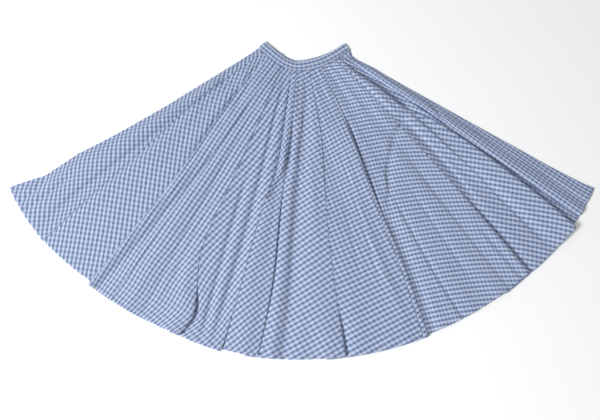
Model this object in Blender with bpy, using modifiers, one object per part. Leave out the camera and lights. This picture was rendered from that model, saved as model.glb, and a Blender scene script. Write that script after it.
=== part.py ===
"""Full circle skirt of four quarter circle gores on a narrow waistband, laid flat on its back.

The cloth is one cone of 360 degrees that lies folded about the point where its side
edges would meet.  A bearing is an angle at that point, in degrees: 0 points straight
down to the middle of the hem, and positive bearings are to the right.  A fraction says
how far a ring of the cloth is from the waist, 0, to the hem, 1.  The hidden returns of
each pleat lie flat under the layer that covers them.  Units are metres, +Z is up.
"""

import math
from collections import namedtuple

import bmesh
import bpy
import numpy as np
from mathutils import Vector

# ---------------------------------------------------------------- driving dimensions

WALL = 0.0010               # cloth wall
BAND_WALL = 0.0016          # two layers of cloth and their turnings
SEAM_GAP = 0.0004           # clearance between two gores at a seam
BAND_GAP = 0.0012           # clearance between the gores and the waistband
BACK_HEIGHT = WALL / 2.0    # middle of the cloth that lies on the surface
PITCH_WAIST = 0.0014        # layer to layer, at the waistband
PITCH_SKIRT = 0.0022        # layer to layer, from PITCH_REACH to the hem
PITCH_REACH = 0.4           # fraction at which the layers have their full pitch
RISE = 0.014                # width over which cloth climbs on to a hidden stack
RISE_SHARE = 0.28           # of the room between two hidden stacks, at most
COVERED_SHARE = 0.4         # of a panel, at most, has hidden returns under it
STACK_MARGIN = 0.0025       # the top layer is flat this far past the hidden stack
LEAD = 0.006                # run of cloth that leaves a fold before it may lift
LIFT_WIDTH = 0.050          # width over which a lifted edge comes down
SET_IN = 0.003              # a hidden inner fold stands back from the edge over it
ROUND_SHARE = 0.6           # a fold reaches this share of its height sideways
LIFT_SHARE = 0.5            # and this share of its lift
NOSE_POINTS = 2             # points between the two ends of a fold's round
RINGS = (0.0, 0.05, 0.16, 0.28, 0.40, 0.58, 0.78, 0.92, 1.0)
WAIST_RADIUS = 0.157        # mean radius of the waist seam
ZONE_STEP = 2.8             # degrees between stations of an open stretch
BACK_STEP = 5.5             # degrees between stations of the back
SIDE_LIFT = 0.003           # roundness of the side folds
SIDE_LIFT_REACH = 0.25      # fraction at which it is full
BACK_TUCK = 0.012           # the hem of the back stays this far inside the front's
BACK_TUCK_WIDTH = 8.0       # degrees from a side fold to the full tuck

# Lines are given by their bends, as pairs of fraction and bearing.

# Pleats, left to right: line of the edge, degrees that the hidden returns reach under the
# layer on top, number of returns, the side that lies on top, the lift of the edge half
# way down and at the hem, and the hem radius just left and just right of it.
Pleat = namedtuple("Pleat", "name edge hidden returns over lift_mid lift_hem hem_left hem_right")
PLEATS = (
    Pleat("left_soft", ((0.0, -50.5), (0.25, -50.4), (0.5, -48.5), (1.0, -46.2)),
          5.3, 1, "left", 0.002, 0.002, 1.000, 0.998),
    Pleat("left_sharp", ((0.0, -41.5), (0.25, -38.6), (0.5, -35.8), (1.0, -35.6)),
          3.0, 1, "right", 0.002, 0.003, 0.990, 1.000),
    Pleat("middle_open", ((0.0, -20.5), (0.5, -20.9), (0.78, -20.2), (0.92, -17.8), (1.0, -18.8)),
          1.5, 1, "left", 0.001, 0.009, 1.001, 1.004),
    Pleat("middle_long", ((0.0, -9.4), (0.28, -8.5), (0.58, -10.3), (1.0, -11.9)),
          5.0, 1, "left", 0.002, 0.003, 1.013, 1.007),
    Pleat("middle_deep", ((0.0, -3.2), (0.25, -4.4), (0.5, -5.2), (1.0, -6.3)),
          3.4, 1, "left", 0.004, 0.002, 1.010, 1.013),
    Pleat("right_low", ((0.0, 11.0), (0.25, 9.8), (0.5, 7.4), (1.0, 7.2)),
          3.0, 1, "left", 0.001, 0.006, 1.011, 1.015),
    Pleat("right_straight", ((0.0, 25.0), (0.25, 23.3), (0.5, 21.4), (1.0, 20.0)),
          4.5, 1, "left", 0.005, 0.002, 1.014, 1.009),
    Pleat("right_broad", ((0.0, 42.0), (0.5, 40.6), (1.0, 39.3)),
          5.0, 1, "left", 0.002, 0.006, 1.007, 1.012),
    Pleat("side_roll", ((0.0, 46.0), (0.28, 47.3), (0.40, 50.6), (0.58, 51.5), (1.0, 50.5)),
          5.0, 2, "left", 0.007, 0.007, 1.016, 1.010),
    Pleat("side_strip", ((0.0, 49.6), (0.16, 50.8), (0.40, 52.1), (1.0, 52.1)),
          1.8, 1, "right", 0.002, 0.003, 1.010, 1.010),
)
LIFT_MID = 0.4              # fraction that counts as half way down for the lift

# Gore seams that show on the front.
Seam = namedtuple("Seam", "name line")
SEAMS = (
    Seam("front_left", ((0.0, -29.6), (0.5, -30.7), (1.0, -31.0))),
    Seam("front_right", ((0.0, 24.2), (0.25, 22.5), (0.5, 20.6), (1.0, 19.3))),
    Seam("side_right", ((0.0, 54.8), (0.25, 55.3), (1.0, 55.0))),
)
BACK_SEAM = -27.0           # bearing of the fourth seam, in the back

# Soft ridges of the open stretches: line of the top, half width in degrees and height.
Ridge = namedtuple("Ridge", "line half_width height")
RIDGES = (
    Ridge(((0.0, -53.4), (1.0, -53.2)), 2.0, 0.003),
    Ridge(((0.0, -45.0), (1.0, -42.0)), 3.0, 0.004),
    Ridge(((0.0, -27.0), (1.0, -26.0)), 2.6, 0.005),
    Ridge(((0.0, -17.0), (1.0, -15.4)), 1.6, 0.005),
    Ridge(((0.0, 4.0), (0.5, 1.6), (1.0, 1.2)), 2.6, 0.005),
    Ridge(((0.0, 17.0), (0.5, 13.6), (1.0, 12.4)), 2.6, 0.005),
    Ridge(((0.0, 33.0), (0.5, 30.4), (1.0, 29.6)), 3.2, 0.006),
    Ridge(((0.0, 44.0), (1.0, 45.0)), 2.0, 0.004),
)
RIDGE_REACH = 0.8           # fraction at which a ridge has its full height

# Side edges of the folded skirt: bearing of the left and of the right one.
Side = namedtuple("Side", "fraction left right")
SIDES = (
    Side(0.00, -58.2, 60.2),
    Side(0.05, -56.8, 56.6),
    Side(0.16, -56.1, 57.0),
    Side(0.28, -55.9, 56.9),
    Side(0.40, -55.6, 57.1),
    Side(0.58, -56.0, 57.3),
    Side(0.78, -56.5, 57.4),
    Side(0.92, -56.8, 57.6),
    Side(1.00, -57.7, 58.0),
)
LEFT_HEM_RADIUS = 0.996
RIGHT_HEM_RADIUS = 1.009

# Waistband: bearing, radius of the edge sewn to the front and to the back, radial width,
# and degrees by which the top edge is turned on from the sewn one.
BandRow = namedtuple("BandRow", "bearing front back width turn")
BAND = (
    BandRow(-58.0, 0.149, 0.149, 0.029, -3.0),
    BandRow(-45.0, 0.144, 0.141, 0.029, -1.0),
    BandRow(-30.0, 0.147, 0.142, 0.029, 0.0),
    BandRow(-15.0, 0.154, 0.147, 0.028, 0.0),
    BandRow(-5.0, 0.158, 0.150, 0.028, 0.0),
    BandRow(5.0, 0.158, 0.151, 0.030, 0.0),
    BandRow(17.0, 0.158, 0.153, 0.032, 0.0),
    BandRow(32.0, 0.160, 0.156, 0.031, 0.0),
    BandRow(47.0, 0.166, 0.164, 0.029, 1.5),
    BandRow(56.0, 0.174, 0.174, 0.0265, 3.5),
    BandRow(60.7, 0.180, 0.180, 0.0245, 5.0),
)
BAND_LEVEL = 0.0050         # middle of the front of the waistband
BAND_STEP = 2.5             # degrees between stations of the waistband
BAND_ROWS = 2               # strips across the waistband
LAP = 7.0                   # degrees that one end of the band laps over the other
LAP_SLOPE = 2.5             # degrees over which the upper end comes down
LAP_STATIONS = 5            # stations along the upper end

CHECK_BLUE = (0.33, 0.44, 0.72, 1.0)
BAND_BLUE = (0.36, 0.47, 0.74, 1.0)
ROUGHNESS = 0.88
COLLECTION = "gingham_circle_skirt"

# One place on a ring: bearing, sideways shift and height in metres, and the radius that
# the same place has at the hem.
Station = namedtuple("Station", "bearing shift height reach")


# ---------------------------------------------------------------- small helpers

def along(line, fraction):
    """Bearing of a line at a fraction, straight between its bends."""
    places, bearings = zip(*line)
    return float(np.interp(fraction, places, bearings))


def ease(value):
    """0 up to 0, 1 from 1 on, and a soft S between them."""
    clipped = min(1.0, max(0.0, value))
    return clipped * clipped * (3.0 - 2.0 * clipped)


def mix(start, end, part):
    """Value a part of the way from start to end."""
    return start + (end - start) * part


def read(rows, key, column, place):
    """Column of a table at a place between its rows."""
    keys = [getattr(row, key) for row in rows]
    values = [getattr(row, column) for row in rows]
    return float(np.interp(place, keys, values))


def pitch(fraction):
    """Distance between the middles of two layers of cloth."""
    return mix(PITCH_WAIST, PITCH_SKIRT, ease(fraction / PITCH_REACH))


def ground(fraction):
    """Height of the lowest layer of the front, which lies on the back."""
    return BACK_HEIGHT + pitch(fraction)


def edge_lift(pleat, fraction):
    """Lift of a pleat's edge, which grows from nothing at the waist."""
    return float(np.interp(fraction, (0.0, LIFT_MID, 1.0), (0.0, pleat.lift_mid, pleat.lift_hem)))


def span(length, fraction):
    """Degrees that a length takes up at a fraction of the way to the hem."""
    return math.degrees(length / mix(WAIST_RADIUS, 1.0, fraction))


# ---------------------------------------------------------------- the section of the cloth

def nose(bearing, side, inset, high, low, reach_high, reach_low):
    """Stations round a fold from one layer to the next; side is 1 where it faces right."""
    stations = []
    steps = NOSE_POINTS + 1
    for step in range(steps + 1):
        angle = math.pi * step / steps
        part = 0.5 - 0.5 * math.cos(angle)
        shift = side * inset * (math.sin(angle) - 1.0)
        reach = mix(reach_high, reach_low, part)
        stations.append(Station(bearing, shift, mix(high, low, part), reach))
    return stations


def pleat_stack(pleat, fraction):
    """Stations of a pleat's edge and of its hidden returns, from left to right."""
    side = 1.0 if pleat.over == "left" else -1.0
    layer = pitch(fraction)
    folds = 2 * pleat.returns
    edge = along(pleat.edge, fraction)
    inner = edge - side * hidden_width(pleat, fraction)
    top, bottom = pleat.hem_left, pleat.hem_right
    if pleat.over == "right":
        top, bottom = bottom, top
    inset = ROUND_SHARE * layer
    stations = []
    for fold in range(folds):
        high = ground(fraction) + layer * (folds - fold)
        reaches = mix(top, bottom, fold / folds), mix(top, bottom, (fold + 1) / folds)
        if fold % 2:
            stations += nose(inner, -side, inset, high, high - layer, *reaches)
            continue
        lift = 0.0 if fold else edge_lift(pleat, fraction)
        set_in = side * SET_IN if fold else 0.0
        turn = nose(edge, side, inset + LIFT_SHARE * lift, high + lift, high - layer, *reaches)
        stations += [place._replace(shift=place.shift - set_in) for place in turn]
    if pleat.over == "right":
        stations.reverse()
    return stations


def hidden_width(pleat, fraction):
    """Degrees that a pleat's hidden returns reach under the layer on top."""
    number = PLEATS.index(pleat)
    if pleat.over == "left":
        beyond = along(PLEATS[number - 1].edge, fraction) if number else side_edge("left", fraction)
    elif number + 1 < len(PLEATS):
        beyond = along(PLEATS[number + 1].edge, fraction)
    else:
        beyond = side_edge("right", fraction)
    room = abs(along(pleat.edge, fraction) - beyond)
    return min(pleat.hidden, COVERED_SHARE * room)


def side_edge(side, fraction):
    """Bearing of the side edge named left or right."""
    return read(SIDES, "fraction", side, fraction)


def stretch_limits(left, right, fraction):
    """Bearings of an open stretch: its two ends and where its hidden stacks end."""
    start = side_edge("left", fraction) if left is None else along(left.edge, fraction)
    end = side_edge("right", fraction) if right is None else along(right.edge, fraction)
    inner_start, inner_end = start, end
    if left is not None and left.over == "right":
        inner_start += hidden_width(left, fraction) + span(STACK_MARGIN, fraction)
    if right is not None and right.over == "left":
        inner_end -= hidden_width(right, fraction) + span(STACK_MARGIN, fraction)
    rise = min(span(RISE, fraction), RISE_SHARE * (inner_end - inner_start))
    return start, inner_start, inner_end, end, rise


def stretch_height(left, right, bearing, fraction):
    """Height of the cloth between two pleats, where None stands for a side fold."""
    start, inner_start, inner_end, end, rise = stretch_limits(left, right, fraction)
    from_start, from_end = bearing - start, end - bearing
    cover_start = 1.0 - ease((bearing - inner_start) / rise)
    cover_end = ease((bearing - inner_end + rise) / rise)
    height = ground(fraction)
    free = 1.0
    for pleat, upper, cover, away, other in (
        (left, "right", cover_start, from_start, from_end),
        (right, "left", cover_end, from_end, from_start),
    ):
        near_edge = 1.0 - ease(away / span(LIFT_WIDTH, fraction))
        clear = ease((other - span(LEAD, fraction)) / span(RISE, fraction))
        if pleat is None:
            height += SIDE_LIFT * ease(fraction / SIDE_LIFT_REACH) * near_edge
        elif pleat.over == upper:
            height += 2.0 * pleat.returns * pitch(fraction) * cover
            height += edge_lift(pleat, fraction) * near_edge * clear
        else:
            free *= ease((away - span(LEAD, fraction)) / span(RISE, fraction))
    for ridge in RIDGES:
        offset = (bearing - along(ridge.line, fraction)) / ridge.half_width
        height += free * ridge.height * ease(fraction / RIDGE_REACH) * math.exp(-offset * offset)
    return height


def stretch_knots(left, right, fraction):
    """Bearings that an open stretch has stations at, in order, each with its seam or None."""
    start, inner_start, inner_end, end, rise = stretch_limits(left, right, fraction)
    knots = [(start, None)]
    if inner_start > start:
        knots += [(inner_start, None), (inner_start + rise, None)]
    if inner_end < end:
        knots += [(inner_end - rise, None), (inner_end, None)]
    knots.append((end, None))
    for seam in SEAMS:
        bearing = along(seam.line, fraction)
        if start < bearing < end:
            knots.append((bearing, seam))
    return sorted(knots, key=lambda knot: knot[0])


def stretch_stations(left, right, fraction):
    """Stations of an open stretch from left to right, one list for each side of a seam."""
    knots = stretch_knots(left, right, fraction)
    hem_knots = stretch_knots(left, right, 1.0)
    start, end = knots[0][0], knots[-1][0]
    reaches = (LEFT_HEM_RADIUS if left is None else left.hem_right,
               RIGHT_HEM_RADIUS if right is None else right.hem_left)
    pieces = [[]]
    for number, (bearing, seam) in enumerate(knots):
        if number:
            last = knots[number - 1][0]
            hem_width = hem_knots[number][0] - hem_knots[number - 1][0]
            steps = max(1, round(hem_width / ZONE_STEP))
            places = [(mix(last, bearing, step / steps), 0.0) for step in range(1, steps)]
        else:
            places = []
        places.append((bearing, -SEAM_GAP / 2.0 if seam else 0.0))
        if seam:
            places.append((bearing, SEAM_GAP / 2.0))
        for place, shift in places:
            if shift > 0.0:
                pieces.append([])
            height = stretch_height(left, right, place, fraction)
            reach = mix(*reaches, (place - start) / (end - start))
            pieces[-1].append(Station(place, shift, height, reach))
    if left is not None and left.over == "right":
        pieces[0].pop(0)
    if right is not None and right.over == "left":
        pieces[-1].pop()
    return pieces


def front_pieces(fraction):
    """Stations across the front at one ring, from left to right, one list for each gore."""
    pieces = [[]]
    for left, right in zip((None,) + PLEATS, PLEATS + (None,)):
        first, *others = stretch_stations(left, right, fraction)
        pieces[-1] += first
        pieces += others
        if right is not None:
            pieces[-1] += pleat_stack(right, fraction)
    return pieces


def back_reach(bearing, left_edge, right_edge):
    """Hem radius of the back, tucked a little inside the hem of the front."""
    part = (bearing - left_edge) / (right_edge - left_edge)
    away = min(bearing - left_edge, right_edge - bearing)
    tuck = BACK_TUCK * ease(away / BACK_TUCK_WIDTH)
    return mix(LEFT_HEM_RADIUS, RIGHT_HEM_RADIUS, part) - tuck


def back_stations(side, fraction):
    """Stations along the back from the side fold named left or right to the back seam."""
    left_edge, right_edge = side_edge("left", fraction), side_edge("right", fraction)
    steps = round(abs(side_edge(side, 1.0) - BACK_SEAM) / BACK_STEP)
    stations = []
    for step in range(steps + 1):
        bearing = mix(side_edge(side, fraction), BACK_SEAM, step / steps)
        reach = back_reach(bearing, left_edge, right_edge)
        stations.append(Station(bearing, 0.0, BACK_HEIGHT, reach))
    return stations


def side_nose(edge, side, high, reach):
    """Stations round a side fold, from the front down to the back."""
    inset = ROUND_SHARE * (high - BACK_HEIGHT)
    return nose(edge, side, inset, high, BACK_HEIGHT, reach, reach)


def gore_rings():
    """Stations of the four gores, by name, as one list of stations for each ring."""
    gores = {"gore_left": [], "gore_centre": [], "gore_right": [], "gore_back": []}
    for fraction in RINGS:
        left, centre, right, strip = front_pieces(fraction)
        left_edge, right_edge = side_edge("left", fraction), side_edge("right", fraction)
        round_left = side_nose(left_edge, -1.0, left[0].height, LEFT_HEM_RADIUS)
        round_right = side_nose(right_edge, 1.0, strip[-1].height, RIGHT_HEM_RADIUS)
        back_left = back_stations("left", fraction)[1:]
        back_right = back_stations("right", fraction)[1:]
        back_left[-1] = back_left[-1]._replace(shift=-SEAM_GAP / 2.0)
        back_right[-1] = back_right[-1]._replace(shift=SEAM_GAP / 2.0)
        gores["gore_left"].append(back_left[::-1] + round_left[::-1] + left[1:])
        gores["gore_centre"].append(centre)
        gores["gore_right"].append(right)
        gores["gore_back"].append(strip[:-1] + round_right + back_right)
    return gores


def gore_point(station, fraction):
    """Place of a station, with the cone's point as the origin."""
    column = "back" if station.height == BACK_HEIGHT else "front"
    waist = read(BAND, "bearing", column, station.bearing) + BAND_GAP
    radius = mix(waist, station.reach, fraction)
    angle = math.radians(station.bearing) + station.shift / radius
    return Vector((radius * math.sin(angle), -radius * math.cos(angle), station.height))


# ---------------------------------------------------------------- the waistband

def band_line():
    """Bearing, height and sewn edge's column of the waistband, from one end to the other."""
    level = BAND_WALL / 2.0
    upper = level + BAND_WALL + SEAM_GAP
    first, last = BAND[0].bearing, BAND[-1].bearing
    line = []
    down = BACK_SEAM - LAP / 2.0
    over = np.linspace(BACK_SEAM + LAP / 2.0, down - LAP_SLOPE, LAP_STATIONS)
    for bearing in over:
        line.append((bearing, mix(upper, level, ease((down - bearing) / LAP_SLOPE)), "back", 0.0))
    for bearing in stepped(over[-1], first)[1:-1]:
        line.append((bearing, level, "back", 0.0))
    line += [(first, place.height, "back", place.shift) for place in band_nose(-1.0)[::-1]]
    for bearing in stepped(first, last)[1:-1]:
        line.append((bearing, BAND_LEVEL, "front", 0.0))
    line += [(last, place.height, "front", place.shift) for place in band_nose(1.0)]
    for bearing in stepped(last, down)[1:]:
        line.append((bearing, level, "back", 0.0))
    return line


def band_nose(side):
    """Round of the band's side fold, from the front down to the back."""
    inset = ROUND_SHARE * (BAND_LEVEL - BAND_WALL / 2.0)
    return nose(0.0, side, inset, BAND_LEVEL, BAND_WALL / 2.0, 0.0, 0.0)


def stepped(start, end):
    """Bearings from start to end, about one band step apart."""
    return np.linspace(start, end, max(3, round(abs(end - start) / BAND_STEP) + 1))


def band_rings():
    """Rows of points along the waistband, from its sewn edge to its top edge."""
    rows = []
    for number in range(BAND_ROWS + 1):
        row = []
        for bearing, height, column, shift in band_line():
            part = number / BAND_ROWS
            width = read(BAND, "bearing", "width", bearing)
            turn = read(BAND, "bearing", "turn", bearing)
            radius = read(BAND, "bearing", column, bearing) - width * part
            angle = math.radians(bearing + turn * part) + shift / radius
            row.append(Vector((radius * math.sin(angle), -radius * math.cos(angle), height)))
        rows.append(row)
    return rows


# ---------------------------------------------------------------- meshes

def fabric(name, colour):
    """Plain woven finish of one colour."""
    material = bpy.data.materials.new(name)
    material.use_nodes = True
    shader = material.node_tree.nodes["Principled BSDF"]
    shader.inputs["Base Color"].default_value = colour
    shader.inputs["Roughness"].default_value = ROUGHNESS
    shader.inputs["Metallic"].default_value = 0.0
    return material


def cloth_sheet(name, rows, wall, material, collection):
    """Grid laid over rows of points and given its wall by Solidify."""
    across, down = len(rows[0]) - 1, len(rows) - 1
    form = bmesh.new()
    bmesh.ops.create_grid(form, x_segments=across, y_segments=down, size=1.0)
    for vertex in form.verts:
        column = round((vertex.co.x + 1.0) / 2.0 * across)
        row = round((vertex.co.y + 1.0) / 2.0 * down)
        vertex.co = rows[row][column]
    mesh = bpy.data.meshes.new(name)
    form.to_mesh(mesh)
    form.free()
    mesh.materials.append(material)
    piece = bpy.data.objects.new(name, mesh)
    collection.objects.link(piece)
    solidify = piece.modifiers.new("wall", "SOLIDIFY")
    solidify.thickness = wall
    solidify.offset = 0.0
    return piece


def centre_on_origin(pieces):
    """Move the meshes so that the middle of their common outline is at X = Y = 0."""
    points = [vertex.co for piece in pieces for vertex in piece.data.vertices]
    middle_x = (min(p.x for p in points) + max(p.x for p in points)) / 2.0
    middle_y = (min(p.y for p in points) + max(p.y for p in points)) / 2.0
    for piece in pieces:
        for vertex in piece.data.vertices:
            vertex.co.x -= middle_x
            vertex.co.y -= middle_y


def build():
    """Make the four gores and the waistband."""
    for old in list(bpy.data.objects):
        bpy.data.objects.remove(old, do_unlink=True)
    collection = bpy.data.collections.new(COLLECTION)
    bpy.context.scene.collection.children.link(collection)
    pieces = []
    for name, rings in gore_rings().items():
        rows = []
        for stations, fraction in zip(rings, RINGS):
            rows.append([gore_point(place, fraction) for place in stations])
        cloth = fabric(name + "_cloth", CHECK_BLUE)
        pieces.append(cloth_sheet(name, rows, WALL, cloth, collection))
    band = fabric("waistband_cloth", BAND_BLUE)
    pieces.append(cloth_sheet("waistband", band_rings(), BAND_WALL, band, collection))
    centre_on_origin(pieces)


build()
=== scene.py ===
"""Looks of a full circle skirt in blue and white gingham, laid flat on its back.

The cloth is one cone that lies folded about the point where its side edges would meet.
A bearing is an angle at that point in degrees: 0 points straight down to the middle of
the hem, and positive bearings are to the right.  A fraction says how far a place is from
the waist, 0, to the hem, 1.  A grain angle is an angle on the flat cut cloth, and the
checks run along it.  Lengths are in metres, +Z is up.
"""

import logging
import math
import random
from collections.abc import Sequence
from dataclasses import dataclass, field, fields
from enum import Enum
from typing import NamedTuple

import bpy
import numpy as np
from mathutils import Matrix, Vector


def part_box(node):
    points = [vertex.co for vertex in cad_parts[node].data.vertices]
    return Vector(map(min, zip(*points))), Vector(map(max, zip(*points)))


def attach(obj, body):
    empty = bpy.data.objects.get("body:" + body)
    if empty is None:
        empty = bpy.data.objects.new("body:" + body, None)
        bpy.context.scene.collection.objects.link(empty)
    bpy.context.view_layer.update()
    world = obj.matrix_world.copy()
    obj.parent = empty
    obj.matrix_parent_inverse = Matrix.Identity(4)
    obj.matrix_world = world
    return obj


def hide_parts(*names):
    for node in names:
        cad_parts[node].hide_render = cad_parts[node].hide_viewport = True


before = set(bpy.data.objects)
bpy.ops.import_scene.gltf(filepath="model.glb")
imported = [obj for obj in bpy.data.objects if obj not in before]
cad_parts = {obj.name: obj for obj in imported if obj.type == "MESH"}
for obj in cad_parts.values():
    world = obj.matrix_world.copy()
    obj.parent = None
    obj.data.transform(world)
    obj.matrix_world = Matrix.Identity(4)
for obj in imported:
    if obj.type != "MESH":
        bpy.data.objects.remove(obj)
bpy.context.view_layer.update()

BODY = "root"
LOG = logging.getLogger("skirt")

# Fewest steps that a stretch of cloth is divided into, and the room for rounding.
FEWEST_STEPS = 3
TINY = 1e-6

Array = np.ndarray
Pairs = tuple[tuple[float, float], ...]
NONE: Pairs = ((0.0, 0.0), (1.0, 0.0))


class Over(Enum):
    """The side of a pleat whose cloth lies on top; the value is the way its edge faces."""

    LEFT = 1.0
    RIGHT = -1.0


class Side(Enum):
    """A side edge of the laid skirt; the value is the way that it faces."""

    LEFT = -1.0
    RIGHT = 1.0


# ---------------------------------------------------------------- curves and rows


def ease(value: Array | float) -> Array:
    """Gives 0 up to 0, 1 from 1 on, and a soft S between them."""
    clipped = np.clip(value, 0.0, 1.0)
    return clipped * clipped * (3.0 - 2.0 * clipped)


def mix(start: Array | float, end: Array | float, part: Array | float) -> Array:
    """Gives the value a part of the way from start to end."""
    return start + (end - start) * part


def flowing(knots: Sequence[float] | Array, values: Sequence[float] | Array, places: Array) -> Array:
    """Reads a smooth curve through points.

    Args:
        knots: Places of the points, rising.
        values: Values at the points.
        places: Where the curve is read; it stays level beyond its ends.

    Returns:
        The curve's value at each place.
    """
    knots = np.asarray(knots, float)
    values = np.asarray(values, float)
    slopes = np.gradient(values, knots)
    at = np.clip(places, knots[0], knots[-1])
    index = np.clip(np.searchsorted(knots, at, side="right") - 1, 0, len(knots) - 2)
    width = knots[index + 1] - knots[index]
    part = (at - knots[index]) / width
    start = values[index] * (1.0 + 2.0 * part) * (1.0 - part) ** 2
    end = values[index + 1] * (3.0 - 2.0 * part) * part**2
    lean = part * (1.0 - part) * ((1.0 - part) * slopes[index] - part * slopes[index + 1])
    return start + end + width * lean


def along(pairs: Pairs, fractions: Array) -> Array:
    """Reads a value that is given by pairs of fraction and value."""
    knots, values = np.array(pairs).T
    return flowing(knots, values, fractions)


@dataclass(frozen=True)
class Line:
    """A line from the waist to the hem, by its values at five even fractions.

    Attributes:
        waist: Value at the waist.
        upper: Value a quarter of the way down.
        mid: Value half way down.
        lower: Value three quarters of the way down.
        hem: Value at the hem.
    """

    waist: float
    upper: float
    mid: float
    lower: float
    hem: float

    def at(self, fractions: Array) -> Array:
        """Gives the line's bearing or angle at each fraction."""
        values = (self.waist, self.upper, self.mid, self.lower, self.hem)
        return flowing(np.linspace(0.0, 1.0, len(values)), values, fractions)


@dataclass(frozen=True)
class Path:
    """A line with bends of its own.

    Attributes:
        points: Pairs of fraction and value.
    """

    points: Pairs

    def at(self, fractions: Array) -> Array:
        """Gives the line's bearing or angle at each fraction."""
        return along(self.points, fractions)


@dataclass(frozen=True)
class Places:
    """Places on the laid cloth.

    Attributes:
        bearings: Their bearings.
        fractions: Their fractions, a row for each ring.
        radii: Their distances from the cone's point.
    """

    bearings: Array
    fractions: Array
    radii: Array

    def right_of(self, bearings: Array) -> Array:
        """Gives how far the places are to the right of a line."""
        return np.radians(self.bearings - bearings) * self.radii


@dataclass(frozen=True)
class Pleat:
    """A pleat: its visible edge and the set of that edge.

    Attributes:
        name: What the pleat is called.
        edge: Line of the fold that shows.
        returns: Number of hidden returns.
        over: The side whose cloth lies on top.
        lift: Heights of the top cloth near the edge, by fraction.
        roll: Width over which the top cloth rolls down to its edge.
        hollow: How far the cloth under the edge has sunk, from 0 to 1, by fraction.
        spread: Width over which that cloth comes up again.
        hem_left: Hem radius just left of the edge.
        hem_right: Hem radius just right of it.
    """

    name: str
    edge: Line | Path
    returns: int
    over: Over
    lift: Pairs
    roll: float
    hollow: Pairs
    spread: float
    hem_left: float
    hem_right: float

    def lift_at(self, fractions: Array) -> Array:
        """Gives the lift at each fraction; there is none where it is sewn to the band."""
        return np.maximum(along(self.lift, fractions), 0.0) * ease(fractions / CONE.sewn_reach)

    def sunk(self, places: Places) -> Array:
        """Gives what the hollow beside the edge leaves of the waves.

        Args:
            places: Places on either side of the edge.

        Returns:
            A share from 0 to 1 for each place.
        """
        away = self.over.value * places.right_of(self.edge.at(places.fractions))
        beyond = 1.0 - ease(away / self.spread)
        covered = 1.0 - ease(-away / CONE.cover_fade)
        near = np.where(away > 0.0, beyond, covered)
        return 1.0 - np.clip(along(self.hollow, places.fractions), 0.0, 1.0) * near


@dataclass(frozen=True)
class Panel:
    """A stretch of open cloth between two pleats, or from one to a side edge.

    Attributes:
        name: What the panel is called.
        left: Grain angles along its left edge.
        right: Grain angles along its right edge.
    """

    name: str
    left: Line | Path
    right: Line | Path


# A trough's path is its left wall, so its middle is moved to the right, in half widths, and
# it leans to the left unless its own lean is stronger.  A crease that starts or ends in the
# cloth fades out over a share of its length and a least fraction more.  The slope of its
# path is read over a step.
TROUGH_SHIFT = 0.5
TROUGH_LEAN = 0.35
FADE_SHARE = 0.14
FADE_LEAST = 0.015
SLOPE_STEP = 0.01


@dataclass(frozen=True)
class Crease:
    """A soft trough or ridge of the cloth.

    Attributes:
        name: What it is called.
        path: Pairs of fraction and bearing along a ridge's top or a trough's left wall.
        width: Half width of its section.
        height: Height of a ridge, or depth of a trough where it is negative.
        lean: Above 0 the right-hand side gets steeper, below 0 the left-hand side.
    """

    name: str
    path: Pairs
    width: float
    height: float
    lean: float = 0.0

    def relief(self, places: Places) -> Array:
        """Gives the height that the crease adds.

        Args:
            places: Places on the cloth.

        Returns:
            A height for each place.
        """
        fractions = places.fractions
        turned = along(self.path, fractions + SLOPE_STEP) - along(self.path, fractions - SLOPE_STEP)
        slope = np.radians(turned) * places.radii / (2.0 * SLOPE_STEP * CONE.cloth_length)
        across = places.right_of(along(self.path, fractions)) / np.sqrt(1.0 + slope * slope)
        lean = self.lean
        if self.height < 0.0:
            across = across - TROUGH_SHIFT * self.width
            lean = lean - TROUGH_LEAN
        width = self.width * (1.0 - lean * np.sign(across))
        section = np.exp(-((across / width) ** 2))
        first, last = self.path[0][0], self.path[-1][0]
        fade = FADE_SHARE * (last - first) + FADE_LEAST
        start = 1.0 if first <= 0.0 else ease((fractions - first + fade) / (2.0 * fade))
        end = 1.0 if last >= 1.0 else ease((last + fade - fractions) / (2.0 * fade))
        return self.height * section * start * end


@dataclass
class Strip:
    """Columns of cloth from waist to hem; every array has a row for each ring.

    Attributes:
        bearing: Bearings in degrees.
        shift: Sideways shifts in metres.
        height: Heights of the middle of the cloth.
        reach: Radii that the columns have at the hem.
        grain: Grain angles in degrees.
        back: 1 where the cloth belongs to the back, 0 where it belongs to the front.
    """

    bearing: Array
    shift: Array
    height: Array
    reach: Array
    grain: Array
    back: Array

    @classmethod
    def of(cls, bearing: Array, shift: Array | float, height: Array, reach: Array | float,
           back: Array | float = 0.0) -> "Strip":
        """Makes a strip with no grain yet.

        Args:
            bearing: Bearings in degrees.
            shift: Sideways shifts in metres.
            height: Heights of the middle of the cloth.
            reach: Hem radii.
            back: 1 on the back, 0 on the front.

        Returns:
            The strip, with its arrays spread to one shape.
        """
        full = [np.array(values, float) for values in np.broadcast_arrays(bearing, shift, height, reach)]
        return cls(*full, np.zeros_like(full[0]), np.full_like(full[0], back))

    def arrays(self) -> list[Array]:
        """Gives the strip's arrays in their order."""
        return [getattr(self, item.name) for item in fields(self)]

    def columns(self, start: int | None, end: int | None, step: int | None = None) -> "Strip":
        """Gives some of the columns, as a slice does."""
        return Strip(*(values[:, start:end:step].copy() for values in self.arrays()))

    @staticmethod
    def joined(strips: list["Strip"]) -> "Strip":
        """Sets strips side by side."""
        rows = zip(*(strip.arrays() for strip in strips))
        return Strip(*(np.concatenate(row, axis=1) for row in rows))


# ---------------------------------------------------------------- the laid shape

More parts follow.
